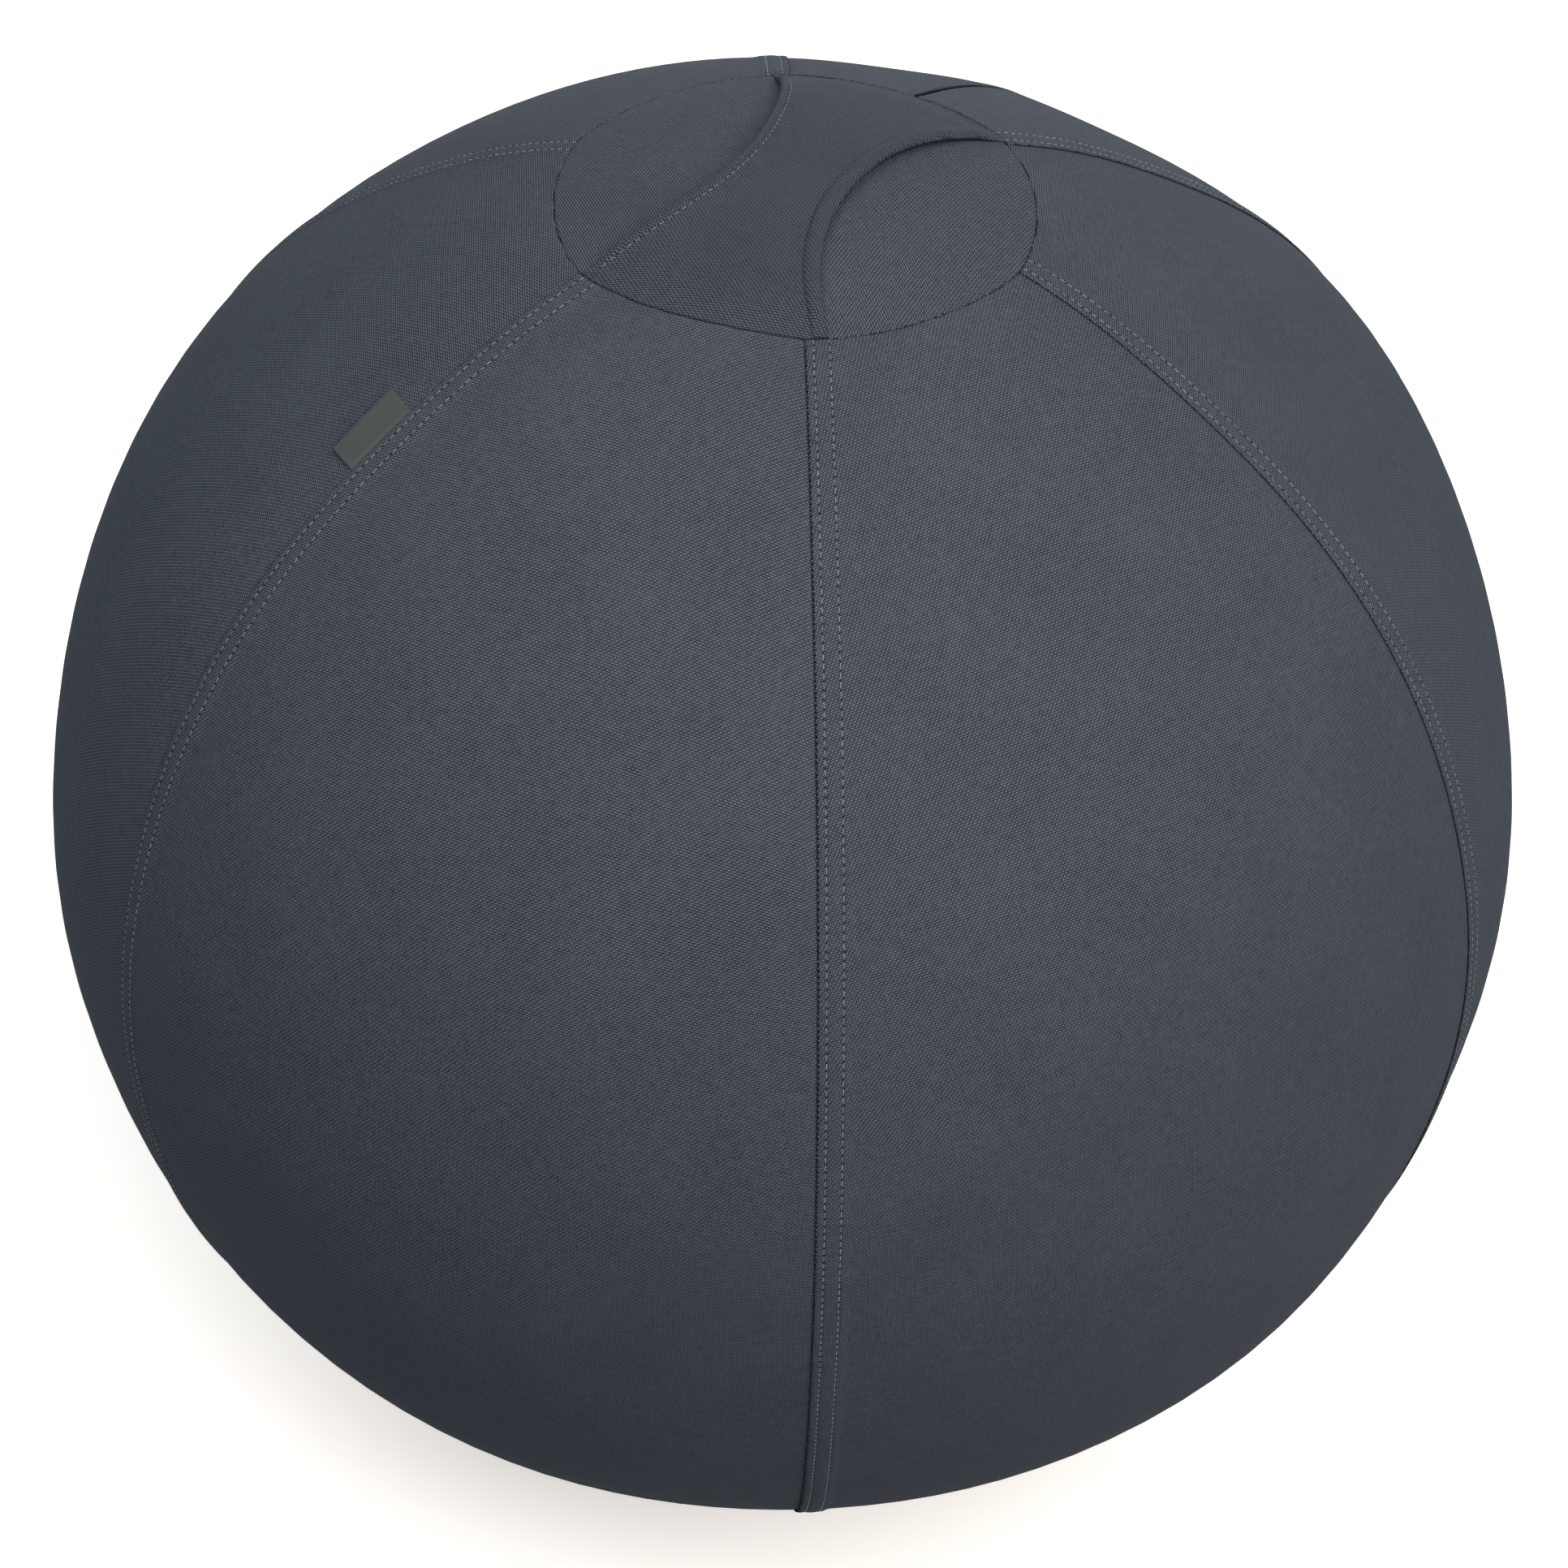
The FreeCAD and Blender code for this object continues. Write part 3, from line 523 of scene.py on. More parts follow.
def top_material(name, depth):
    """The same cloth on top of the ball, cut on the cross. The painted highlights on its floats slant the
    other way, and its hollows are painted darker as shade than the panels', as the top is seen at a slant.
    Both its colours are dimmed by depth."""
    c = colours()
    return bpy.data.materials.get(name) or weave_material(
        name, dimmed(c.yarn_lit_top, depth), dimmed(c.yarn_shaded_hollow, depth), slant=-0.16, tones=(0.5, 1.0)
    )


def sewing_material():
    """The topstitching thread, made once."""
    return bpy.data.materials.get("spun_sewing_thread") or twisted_thread_material(
        "spun_sewing_thread", tuple(colours().sewing)
    )


def fitting_material():
    """Zinc castings with baked enamel: dark, satin, with a slight orange peel."""
    return bpy.data.materials.get("enamelled_zinc") or grained_material(
        "enamelled_zinc", tuple(colours().fitting), 0.38, 0.6, 0.02, coat=0.2
    )


def ribbon_material():
    """Satin ribbon of the tab: fine close threads, even in tone and smoother than the cover."""
    c = colours().label
    return weave_material("woven_satin_ribbon", tuple(c), dimmed(c, 0.55), fleck=0.1, roughness=0.6)


def canvas_material():
    """Coated canvas of the base: its weave shows softly, with a low shine."""
    c = colours().base
    return weave_material("coated_base_canvas", tuple(c), dimmed(c, 0.4), fleck=0.2, roughness=0.7)


def tape_material():
    """Tape of the zip: dark and tightly woven, with a dull face."""
    c = colours().coil
    return weave_material("woven_zip_tape", tuple(c), dimmed(c, 0.45), fleck=0.15, roughness=0.75)


def coil_material():
    """Extruded nylon: a dark, half shiny filament with hardly any grain."""
    return grained_material("extruded_nylon_coil", tuple(colours().coil), 0.45, 0.4, 0.02, ior=1.53)


def vinyl_material():
    """Inflated vinyl: a smooth grey skin with a soft shine and a fine pebbling."""
    return grained_material("inflated_vinyl", tuple(colours().skin), 0.35, 1.2, 0.05, ior=1.53)


def lining_material():
    """Lining of the ballast bag: plain dull cloth."""
    c = colours().lining
    return weave_material("lining_cloth", tuple(c), dimmed(c, 0.5), fleck=0.2, roughness=0.85)


def sand_material():
    """Dry sand: dull and rough, with paler and darker patches."""
    return grained_material("dry_sand", tuple(colours().sand), 0.95, 0.5, 0.15, variation=0.35)


def valve_material():
    """Moulded plastic of the valve: off-white with a dull shine."""
    return grained_material("moulded_valve_plastic", tuple(colours().valve), 0.4, 0.8, 0.02, ior=1.49)


def paint_material(name):
    """Matt studio paint with a warm glow of its own: with the blue of the sky it makes a white ground."""
    material = grained_material(name, tuple(colours().floor), 0.8, 4.0, 0.05, variation=0.01)
    inputs = material.node_tree.nodes["Principled BSDF"].inputs
    inputs["Emission Color"].default_value = (1, 0.92, 0.85, 1)
    inputs["Emission Strength"].default_value = 0.55
    return material


# Cover panels

# Sections of a panel's edges in millimetres: distance from the seam's plane, and height over the ball.
# The first edge is folded back on itself and topstitched twice, and lies on the next panel.
FOLDED_EDGE = np.array([
    (9.0, -0.10), (0.35, -0.10), (-0.08, 0.10), (-0.24, 0.48), (-0.08, 0.88), (0.35, 1.14), (1.0, 1.26),
    (1.7, 1.26), (2.35, 1.14), (2.9, 0.92), (3.45, 1.14), (4.2, 1.28), (5.2, 1.34), (6.1, 1.36),
    (7.1, 1.32), (8.1, 1.22), (8.75, 1.08), (9.3, 0.86), (9.85, 1.0), (10.5, 1.02), (11.3, 0.86),
    (12.2, 0.5), (13.2, 0.22), (14.4, 0.07), (16.0, 0.0),
])
STITCH_ROWS = 2.9, 9.3
# The last edge passes under the neighbour's fold, with a crease beside it.
TUCKED_EDGE = np.array([
    (8.0, 0.0), (4.0, -0.02), (2.2, -0.05), (1.2, -0.1), (0.6, -0.18), (0.15, -0.26), (-0.3, -0.28),
    (-1.2, -0.26), (-3.0, -0.26), (-8.5, -0.26),
])
# Edges of the slit: the left one is a rolled lip, the right one a plain fold.
ROLLED_EDGE = np.array([
    (3.0, -1.1), (0.5, -1.0), (0.08, -0.6), (0.0, 0.0), (0.1, 0.3), (0.55, 0.56), (1.3, 0.66), (2.6, 0.66),
    (4.0, 0.6), (5.4, 0.5), (6.8, 0.36), (8.2, 0.22), (9.8, 0.1), (11.6, 0.03), (13.5, 0.0),
])
PLAIN_EDGE = np.array([
    (8.0, 0.0), (4.0, 0.1), (2.0, 0.2), (1.0, 0.18), (0.4, 0.0), (0.08, -0.4), (0.1, -0.8), (0.5, -1.1),
])
# Rows of points to each stitch.
ROW_STEP = 4


def panel_rows():
    """Distances along a panel from the crown's rim, with four rows to each stitch and more at the rims."""
    s = sizes()
    top, bottom = rim_polars()
    whole = s.ball_radius * (bottom - top)
    even = np.arange(1, int(whole / (s.stitch / ROW_STEP)) - 1) * s.stitch / ROW_STEP
    ends = np.array([0, 0.2, 0.45])
    return np.concatenate([ends, even, whole - ends[::-1]]), whole


def slit_width(polar):
    """Half the slit's width, which closes below the zip's lower end."""
    return 0.05 + (sizes().slit - 0.05) * (1 - smooth(polar, math.radians(122.5), math.radians(124.5)))


def panel(name, first, last, middle, first_edge, last_edge, stitched, fullness, in_slit=None):
    """A cover panel: a closed section of cloth carried down the ball between two seams, each with its own
    fullness. Near each seam the section keeps its distance from the seam's plane, between them it is shared
    out evenly. A point's distance from the ball's middle is the ball's radius, plus the section's own
    height, plus the filled cover's swelling, less a dip at the rims of the crown and the base."""
    s = sizes()
    top, _ = rim_polars()
    along, whole = panel_rows()
    polar = (top + along / s.ball_radius)[:, None]
    out = s.ball_radius * np.sin(polar)
    inner_fold = first_edge[0]
    shares = np.linspace(0, 1, 18)[1:-1]
    back = np.linspace(1, 0, 8)
    slit = slit_width(polar)
    first_gap, last_gap = (slit if in_slit == side else 0 * slit for side in ("first", "last"))
    ragged = np.sin(2.4 * np.arange(len(along)))[:, None]
    frayed = 0.5 * fullness[0] * ragged * (first_edge[None, :, 0] < 0.4) * bool(stitched)
    start = first + np.arcsin((first_edge[None, :, 0] + first_gap + frayed) / out)
    end = last - np.arcsin((last_edge[None, :, 0] + last_gap) / out)
    between = start[:, -1:] + (end[:, :1] - start[:, -1:]) * shares
    under_start = first + np.arcsin((inner_fold[0] + 6 + first_gap) / out)
    under = under_start + (end[:, -1:] - under_start) * back
    azimuth = np.concatenate([start, between, end, under], axis=1)
    under_height = np.where(back > 0.02, -s.cloth, inner_fold[1] - 0.35)
    under_height[0] = last_edge[-1, 1] - 0.75
    height = np.concatenate([first_edge[:, 1], 0 * shares, last_edge[:, 1], under_height])[None, :]
    ends = smooth(np.minimum(along, whole - along), 0.4, 4.0)[:, None]
    height = np.where(height > 0, height * ends * fullness[0], height)
    swell = swelling(polar, azimuth)
    rim = np.exp(-(np.minimum(along, whole - along)[:, None] / 0.4) ** 2)
    # Painted shade: the cloth is darkened along the fold's edge, in the crease beside the tucked edge, in
    # the stitch holes and at the rims.
    painted_shade = np.zeros_like(azimuth)
    columns = len(first_edge)
    painted_shade[:, :columns] = np.where(first_edge[:, 1] < 0.3, 0.9 * fullness[0], 0) * (np.arange(columns) < 5)
    tuck = slice(columns + len(shares), columns + len(shares) + len(last_edge))
    # Painted shadow under the neighbour's fold, beside the tucked edge, as ragged as the fold's edge.
    shadow = np.interp(last_edge[:, 0], (-0.3, 0.15, 0.6, 1.2), (1, 0.95, 0.4, 0))
    shadow = shadow + 0.5 * ragged * np.interp(last_edge[:, 0], (0.15, 0.6, 1.2), (0, 0.7, 0))
    painted_shade[:, tuck] = np.clip(fullness[1] ** 1.5 * shadow, 0, 1)
    # Stitch holes are sunk and painted dark as shade.
    hole = (np.arange(len(along)) - 2) % ROW_STEP == 0
    hole &= (along > 1) & (along < whole - 1)
    for row in stitched:
        column = int(np.argmin(np.abs(first_edge[:, 0] - row) + (first_edge[:, 1] < 0.3) * 9))
        height[hole, column - 1 : column + 2] -= np.array([0.1, 0.4, 0.1])
        painted_shade[hole, column - 1 : column + 2] = 0.25, 1.0, 0.25
    # Painted shade in dashes at the rim seams, one to each stitch hole.
    painted_shade = np.maximum(painted_shade, rim * rim_dashes(azimuth))
    raised = over_allowance(along[:, None], azimuth)
    points = on_ball(s.ball_radius + height + swell + raised - 0.4 * rim, polar, azimuth)
    turned = azimuth - middle
    up = math.pi / 2 - polar
    threads = s.ball_radius * np.stack((
        np.arcsin(np.cos(up) * np.sin(turned)) / s.warp_pitch,
        np.arctan2(np.sin(up), np.cos(up) * np.cos(turned)) / s.weft_pitch,
    ), axis=-1)
    faces = tube_faces(*azimuth.shape)
    item = mesh_object(name, points, faces, threads, painted_shade, flat_faces=2)
    return finish_piece(item, BODY_COVER, "cover_weave", cover_material(), name.removesuffix("_cloth"))


class SITTINGBALL_OT_panels(bpy.types.Operator):
    """Sew the upright panels of the cover, with their lapped seams and the two edges of the slit"""

    bl_idname = "sitting_ball.panels"
    bl_label = "Cover panels"

    def execute(self, context):
        for name, (low, high) in PANELS.items():
            first, last = math.radians(SEAMS[low]), math.radians(SEAMS[high])
            last += 2 * math.pi * (last < first)
            middle = (first + last) / 2
            full = [SEAM_FULLNESS.get(seam, OTHER_FULLNESS) for seam in (low, high)]
            item = panel(name + "_cloth", first, last, middle, FOLDED_EDGE, TUCKED_EDGE, STITCH_ROWS, full)
        right, left, slit = (math.radians(a) for a in (SEAMS["rear_right"], SEAMS["rear_left"], SLIT))
        middle = (right + left) / 2
        full = OTHER_FULLNESS, OTHER_FULLNESS
        halves = (
            ("right", right, slit, middle, FOLDED_EDGE, PLAIN_EDGE, STITCH_ROWS, full, "last"),
            ("left", slit, left, middle, ROLLED_EDGE, TUCKED_EDGE, (), full, "first"),
        )
        for side, *half in halves:
            item = panel(f"gore_zip_{side}_cloth", *half)
        return {"FINISHED"}


# Topstitching


def stitches(name, middles, directions, outward):
    """Stitches as short bowed capsules: each has five rings of six points, its ends narrow and dip into the
    cloth. A ring's point is the stitch's middle, plus a step along it, plus a turn of the radius round
    it."""
    s = sizes()
    reach = 0.36 * s.stitch * np.array([-1, -0.72, 0, 0.72, 1])
    radius = 0.5 * s.thread * np.array([0.35, 0.9, 1, 0.9, 0.35])
    dip = s.thread * np.array([-0.9, -0.1, 0.12, -0.1, -0.9])
    turn = full_turn(6)
    side = np.cross(outward, directions)
    ring = radius[:, None, None] * (np.cos(turn)[None, :, None] * side[:, None, None] +
                                    np.sin(turn)[None, :, None] * outward[:, None, None])
    spine = middles[:, None] + reach[:, None] * directions[:, None] + dip[:, None] * outward[:, None]
    points = spine[:, :, None] + ring
    capsule = tube_faces(len(reach), len(turn))
    return mesh_object(name, points, repeated(capsule, len(middles), len(reach) * len(turn)))


def seam_stitches(seam, row, lift):
    """One row of topstitching beside a seam, at a steady distance from the seam's plane."""
    s = sizes()
    top, bottom = rim_polars()
    whole = s.ball_radius * (bottom - top)
    along = (np.arange(int((whole - 1) / s.stitch)) + 0.5) * s.stitch
    polar = top + along / s.ball_radius
    azimuth = seam + np.arcsin(row / (s.ball_radius * np.sin(polar)))
    lift = lift * smooth(np.minimum(along, whole - along), 0.4, 4.0) + over_allowance(along, azimuth)
    radius = s.ball_radius + lift + swelling(polar, azimuth)
    points = on_ball(radius, polar, azimuth)
    outward = unit(points - np.array((0, 0, centre_height())))
    level = np.stack((-np.sin(azimuth), np.cos(azimuth), 0 * azimuth), axis=-1)
    down = np.cross(level, outward)
    down *= -np.sign(down[:, 2:])
    return points, down, outward


class SITTINGBALL_OT_topstitching(bpy.types.Operator):
    """Run two rows of topstitching down each lapped seam"""

    bl_idname = "sitting_ball.topstitching"
    bl_label = "Topstitching"

    def execute(self, context):
        for name, azimuth in SEAMS.items():
            # Where a fold is full, its stitches lie a millimetre over the ball.
            lift = SEAM_FULLNESS.get(name, OTHER_FULLNESS)
            rows = [seam_stitches(math.radians(azimuth), row, lift) for row in STITCH_ROWS]
            thread = stitches(f"topstitch_{name}", *(np.concatenate(part) for part in zip(*rows)))
            finish_piece(thread, BODY_COVER, "cover_weave", sewing_material())
        return {"FINISHED"}


# Crown


def disc_threads(points, turn):
    """Place in the weave of a round panel: its plan, turned, counted in threads."""
    c, n = math.cos(turn), math.sin(turn)
    x, y = points[..., 0], points[..., 1]
    return np.stack(((c * x + n * y) / sizes().warp_pitch, (c * y - n * x) / sizes().weft_pitch), axis=-1)


def crown_cloth():
    """The round top panel: a closed section of cloth carried round the ball's axis. Its top has the ball's
    radius, less a dip at the rim that fades like a bell. Its underside lies a cloth's thickness lower."""
    s = sizes()
    top, _ = rim_polars()
    whole = s.ball_radius * top
    turn = full_turn(int(2 * math.pi * s.crown_radius / s.stitch) * ROW_STEP)[None, :]
    edge = np.array([0.1, 0.3, 0.6, 1.0, 1.6, 2.6, 4.2, 6.5, 9.0])
    out = whole - np.concatenate([edge, np.linspace(12, whole - 2, 26)])
    rim = np.exp(-((whole - out) / 0.4) ** 2)
    upper = s.ball_radius - 0.6 * rim
    under = np.minimum(upper - 0.7, s.ball_radius - s.cloth)
    reach = np.concatenate([out[::-1], out])[:, None]
    radius = np.concatenate([upper[::-1], under])[:, None]
    points = on_ball(radius, reach / s.ball_radius, turn)
    # Painted shade in dashes along the rim seam, one to each stitch hole.
    painted_shade = np.concatenate([rim[::-1], rim])[:, None] * rim_dashes(turn)
    threads = disc_threads(points, s.crown_turn)
    return mesh_object("crown_cloth", points, tube_faces(*points.shape[:2]), threads, painted_shade)


class SITTINGBALL_OT_crown(bpy.types.Operator):
    """Sew in the round top panel"""

    bl_idname = "sitting_ball.crown"
    bl_label = "Crown panel"

    def execute(self, context):
        item = crown_cloth()
        cloth = top_material("woven_polyester_crown", 0.96)
        finish_piece(item, BODY_COVER, "cover_weave", cloth, "crown_disc")
        return {"FINISHED"}


# Strap


# Section of a hem, a full roll: distances from the edge as shares of the way to the stitches, and
# thicknesses as shares of the strap's. The last four lie between the stitches and the flat middle.
HEM_STEPS = np.array([0, 0.016, 0.066, 0.15, 0.26, 0.43, 0.59, 0.75, 0.85, 0.93, 1.0, 1.07, 1.16])
HEM = np.array([
    0.3, 0.6, 0.9, 1.12, 1.28, 1.38, 1.36, 1.24, 1.08, 0.88, 0.66, 0.7, 0.68, 0.62, 0.57, 0.55, 0.55,
])
HEM_REACH = 14.0
STITCH_COLUMN = 10
FLAT_COLUMNS = 12
STRAP_ROWS = 26 * ROW_STEP + 1


def strap_form(across, along):
    """Points of the strap's outline: across runs from edge to edge and along from rim to rim, both from -1
    to 1. Its edges are hollow arcs, and each line along it ends where it meets the crown's rim."""
    s = sizes()
    far = s.strap_waist / 2 + s.strap_hollow
    end = np.full_like(across, s.crown_radius)
    for _ in range(30):
        edge = far - np.sqrt(s.strap_hollow**2 - np.minimum(np.abs(end), s.strap_hollow * 0.99) ** 2)
        end = 0.5 * end + 0.5 * np.sqrt(np.maximum(s.crown_radius**2 - (across * edge) ** 2, 1.0))
    y = along * end
    edge = far - np.sqrt(s.strap_hollow**2 - y**2)
    return across * edge, y, edge


def strap_dome():
    """Radius of the shallow dome under the strap, which meets the crown's rim, and how far its middle lies
    over the ball's."""
    s = sizes()
    seat = s.ball_radius + 0.3
    top = seat + s.strap_rise
    sag = top - math.sqrt(seat**2 - s.crown_radius**2)
    dome = (s.crown_radius**2 + sag**2) / (2 * sag)
    return dome, top - dome


def strap_plan(along):
    """The strap's columns in plan: x, y, distance from the ball's axis, distance in from the crown's rim,
    and share of the way across, from 1 at the right edge to -1 at the left one. The hems keep their widths,
    the flat middle takes up the rest, and the front end is sewn in a little askew."""
    s = sizes()
    right, left = (
        np.concatenate([hem * HEM_STEPS, np.linspace(1.3 * hem, HEM_REACH, 4)])
        for hem in (s.right_hem, s.left_hem)
    )
    flat = 1 - HEM_REACH / (s.strap_waist / 2)
    inner = np.linspace(flat, -flat, FLAT_COLUMNS + 2)[1:-1]
    _, _, edge = strap_form(np.ones_like(along), along)
    share = np.concatenate([1 - right / edge, inner + 0 * edge, left[::-1] / edge - 1], axis=1)
    x, y, _ = strap_form(share, along * np.ones_like(share))
    level = np.hypot(x, y)
    rim = s.crown_radius - level
    skew = 0.04 * smooth(level / s.crown_radius, 0.25, 1.0) * (y < 0)
    x, y = x * np.cos(skew) - y * np.sin(skew), x * np.sin(skew) + y * np.cos(skew)
    drawn = 1 + (crown_rim(np.arctan2(y, x)) / s.crown_radius - 1) * (level / s.crown_radius) ** 3
    return x * drawn, y * drawn, level * drawn, rim, share


def strap_stitches(name, upper, direction, holes, columns):
    """A row of stitches on each hem, one between each two holes. The right hem's row lies sunk in a
    groove."""
    at = holes[:-1] + ROW_STEP // 2
    centres, ways, ups = [], [], []
    for column in columns:
        sunk = 0.3 if column == STITCH_COLUMN else 0.0
        centres.append(upper[at, column] - sunk * direction[at, column])
        ways.append(unit(upper[at + 1, column] - upper[at - 1, column]))
        ups.append(direction[at, column])
    return stitches(name, *(np.concatenate(part) for part in (centres, ways, ups)))


def strap_half(name, sign):
    """Half of the strap: a closed section of two plies, with a stitched hem on each edge, carried from the
    rim to the middle. Its underside lies on a shallow dome that meets the crown's rim, and its top is a
    thickness above. Both edges stand up from the dome, and the left one also leans in and is hollower."""
    s = sizes()
    dome, middle = strap_dome()
    rows = np.arange(STRAP_ROWS)
    x, y, level, rim, share = strap_plan(sign * np.linspace(1, 0, STRAP_ROWS)[:, None])
    stitched = STITCH_COLUMN, share.shape[1] - 1 - STITCH_COLUMN
    right_lift = s.right_lift * smooth(share, 0.2, 1.0) * hump(y, 35, 38)
    left_lift = s.left_lift * smooth(-share, 0.3, 1.0) * smooth(rim, 4.0, 40.0)
    lift = right_lift + left_lift
    lean = 0.64 * left_lift
    x = x + lean + s.left_hollow * smooth(-share, 0.0, 1.0) * hump(y, -15, 48)
    taper = 0.25 + 0.75 * smooth(rim, 0.0, 18.0)
    # Painted shade: dark at the rims, along the right hem's inner groove and in the stitch holes.
    painted_shade = 0.6 * np.exp(-((rim / 0.5) ** 2))
    groove = slice(STITCH_COLUMN - 1, STITCH_COLUMN + 2)
    painted_shade[:, groove] += 0.4 * smooth(-y[:, groove], 0, 30) * np.array([0.3, 1, 0.3])
    hole = (rows % ROW_STEP == ROW_STEP // 2) & (rows > ROW_STEP)
    depth = np.zeros_like(x)
    for column in stitched:
        depth[hole, column] = 0.3
        painted_shade[hole, column] = 0.7
    thick = s.strap_cloth * np.concatenate([HEM, np.full(FLAT_COLUMNS, HEM[-1]), HEM[::-1]])
    under = np.zeros_like(thick)
    under[[0, -1]] = 0.9 * thick[[0, -1]]
    direction = np.stack((x, y, np.sqrt(dome**2 - level**2)), axis=-1) / dome
    origin = np.array((0, 0, centre_height() + middle))
    bed = dome + lift - (1 - taper) * 0.6
    upper = origin + direction * (bed + thick * taper - depth)[..., None]
    lower = origin + direction * (bed + under * taper)[..., None]
    points = np.concatenate([upper, lower[:, ::-1]], axis=1)
    painted_shade = np.concatenate([painted_shade, painted_shade[:, ::-1]], axis=1)
    threads = disc_threads(points, s.strap_turn)
    item = mesh_object(name, points, tube_faces(*points.shape[:2]), threads, painted_shade, flat_faces=2)
    finish_piece(item, None, "strap_weave", top_material("woven_polyester_strap", 0.8), "carry_handle")
    thread = strap_stitches(name + "_stitch", upper, direction, np.nonzero(hole)[0], stitched)
    finish_piece(thread, None, "strap_weave", sewing_material())
    height = centre_height() + s.ball_radius
    for part in (item, thread):
        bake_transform(part)


class SITTINGBALL_OT_strap(bpy.types.Operator):
    """Lay the hourglass carry strap over the crown, in two halves that rise to meet at its middle"""

    bl_idname = "sitting_ball.strap"
    bl_label = "Carry strap"

    def execute(self, context):
        strap_half("strap_front", -1)
        strap_half("strap_back", 1)
        return {"FINISHED"}


# Label


def label_tab():
    """The tab: the section of a folded ribbon carried along the seam. A point's distance from the ball's
    middle is the ball's radius, plus the swelling, plus its height in the fold, plus a curl that grows
    towards the fold. Where the tab is caught in the seam it is pressed flat."""
    s = sizes()
    start, long = math.radians(33.1), 33.0
    caught, wide = 4, 15.0
    ply, pitch = 0.36, 0.45
    along = np.linspace(0, 1, 45)[:, None]
    polar = start + along * long / s.ball_radius
    out = np.concatenate([np.linspace(-caught, 3, 15), np.linspace(3, wide, 13)[1:]])
    fold = np.linspace(-math.pi / 2, math.pi / 2, 9)[1:-1]
    outer, inner = 0.5, 0.5 - ply
    distance = np.concatenate([
        out, wide + outer * np.cos(fold), out[::-1], out, wide + inner * np.cos(fold[::-1]), out[::-1],
    ])[None, :]
    height = outer + np.concatenate([
        0 * out - outer, outer * np.sin(fold), 0 * out + outer,
        0 * out + inner, inner * np.sin(fold[::-1]), 0 * out - inner,
    ])[None, :]
    azimuth = math.radians(SEAMS["front_left"]) - np.arcsin(distance / (s.ball_radius * np.sin(polar)))
    curl = 1.6 * smooth(distance, 3, wide) * (0.75 + 0.25 * np.cos(math.pi * (along - 0.3)))
    clear = smooth(distance, -0.2, 2.5)
    lift = -0.22 + 0.37 * clear + height * (0.12 + 0.88 * clear)
    points = on_ball(s.ball_radius + swelling(polar, azimuth) + lift + curl, polar, azimuth)
    threads = np.stack(np.broadcast_arrays(along * long / pitch, distance / pitch), axis=-1)
    return mesh_object("label_tab", points, tube_faces(*points.shape[:2]), threads, flat_faces=2)


class SITTINGBALL_OT_label(bpy.types.Operator):
    """Catch the bare ribbon tab in the front left seam"""

    bl_idname = "sitting_ball.label"
    bl_label = "Label tab"

    def execute(self, context):
        item = label_tab()
        finish_piece(item, BODY_COVER, "label_ribbon", ribbon_material(), "side_label")
        return {"FINISHED"}


# Base


def base_cloth():
    """The bottom panel: a profile turned round the ball's axis. Outside the floor's flat it has the ball's
    radius, less a dip at the rim that fades like a bell. On the flat it lies on the floor, and its inside is
    the same profile raised by its thickness."""
    s = sizes()
    thick, fade = 1.5, 0.9
    _, bottom = rim_polars()
    last = math.pi - math.asin(s.floor_radius / s.ball_radius)
    polar = np.linspace(bottom + 0.1 / s.ball_radius, last, 24)
    away = s.ball_radius * (polar - bottom)
    radius = s.ball_radius - np.exp(-((away / fade) ** 2))
    side = np.stack((radius * np.sin(polar), centre_height() + radius * np.cos(polar)), axis=-1)
    flat = np.linspace(s.floor_radius, 2, 24)[1:]
    outside = np.concatenate([side, np.stack((flat, 0 * flat), axis=-1)])
    points = lathe(np.concatenate([outside[::-1], outside + np.array((0, thick))]), 360)
    # Painted shade at the rim seam, fading like a bell.
    painted_shade = np.exp(-((np.hypot(*(outside - outside[0]).T) / fade) ** 2))
    painted_shade = np.repeat(np.concatenate([painted_shade[::-1], painted_shade]), points.shape[1])
    threads = disc_threads(points, 0.4)
    return mesh_object("base_cloth", points, tube_faces(*points.shape[:2]), threads, painted_shade)


class SITTINGBALL_OT_base(bpy.types.Operator):
    """Sew in the bottom panel, flat where the ball stands on it"""

    bl_idname = "sitting_ball.base"
    bl_label = "Base panel"

    def execute(self, context):
        item = base_cloth()
        finish_piece(item, BODY_COVER, "base_cloth", canvas_material(), "base_disc")
        return {"FINISHED"}


# Zip


def zip_points(radius, polar, sideways):
    """Points beside the zip's meridian, at a distance sideways from its plane."""
    turn = math.radians(SLIT)
    x, z = radius * np.sin(polar), centre_height() + radius * np.cos(polar)
    parts = np.broadcast_arrays(
        x * math.cos(turn) - sideways * math.sin(turn), x * math.sin(turn) + sideways * math.cos(turn), z
    )
    return np.stack(parts, axis=-1)


def zip_tape(side, way):
    """A tape: a flat section carried along the slit inside the cover, at a steady radius."""
    under, top, pitch = 322.0, 322.5, 0.5
    polar = np.linspace(math.radians(23.9), math.radians(122.05), 281)[:, None]
    out = np.linspace(1.2, 11.2, 12)
    sideways = way * np.concatenate([out, out[::-1]])[None, :]
    radius = np.concatenate([0 * out + top, 0 * out + under])[None, :]
    points = zip_points(radius, polar, sideways)
    threads = np.stack(np.broadcast_arrays(sideways / pitch, polar * under / pitch), axis=-1)
    faces = tube_faces(*points.shape[:2])
    return mesh_object(f"zip_tape_{side}_cloth", points, faces, threads, flat_faces=2)


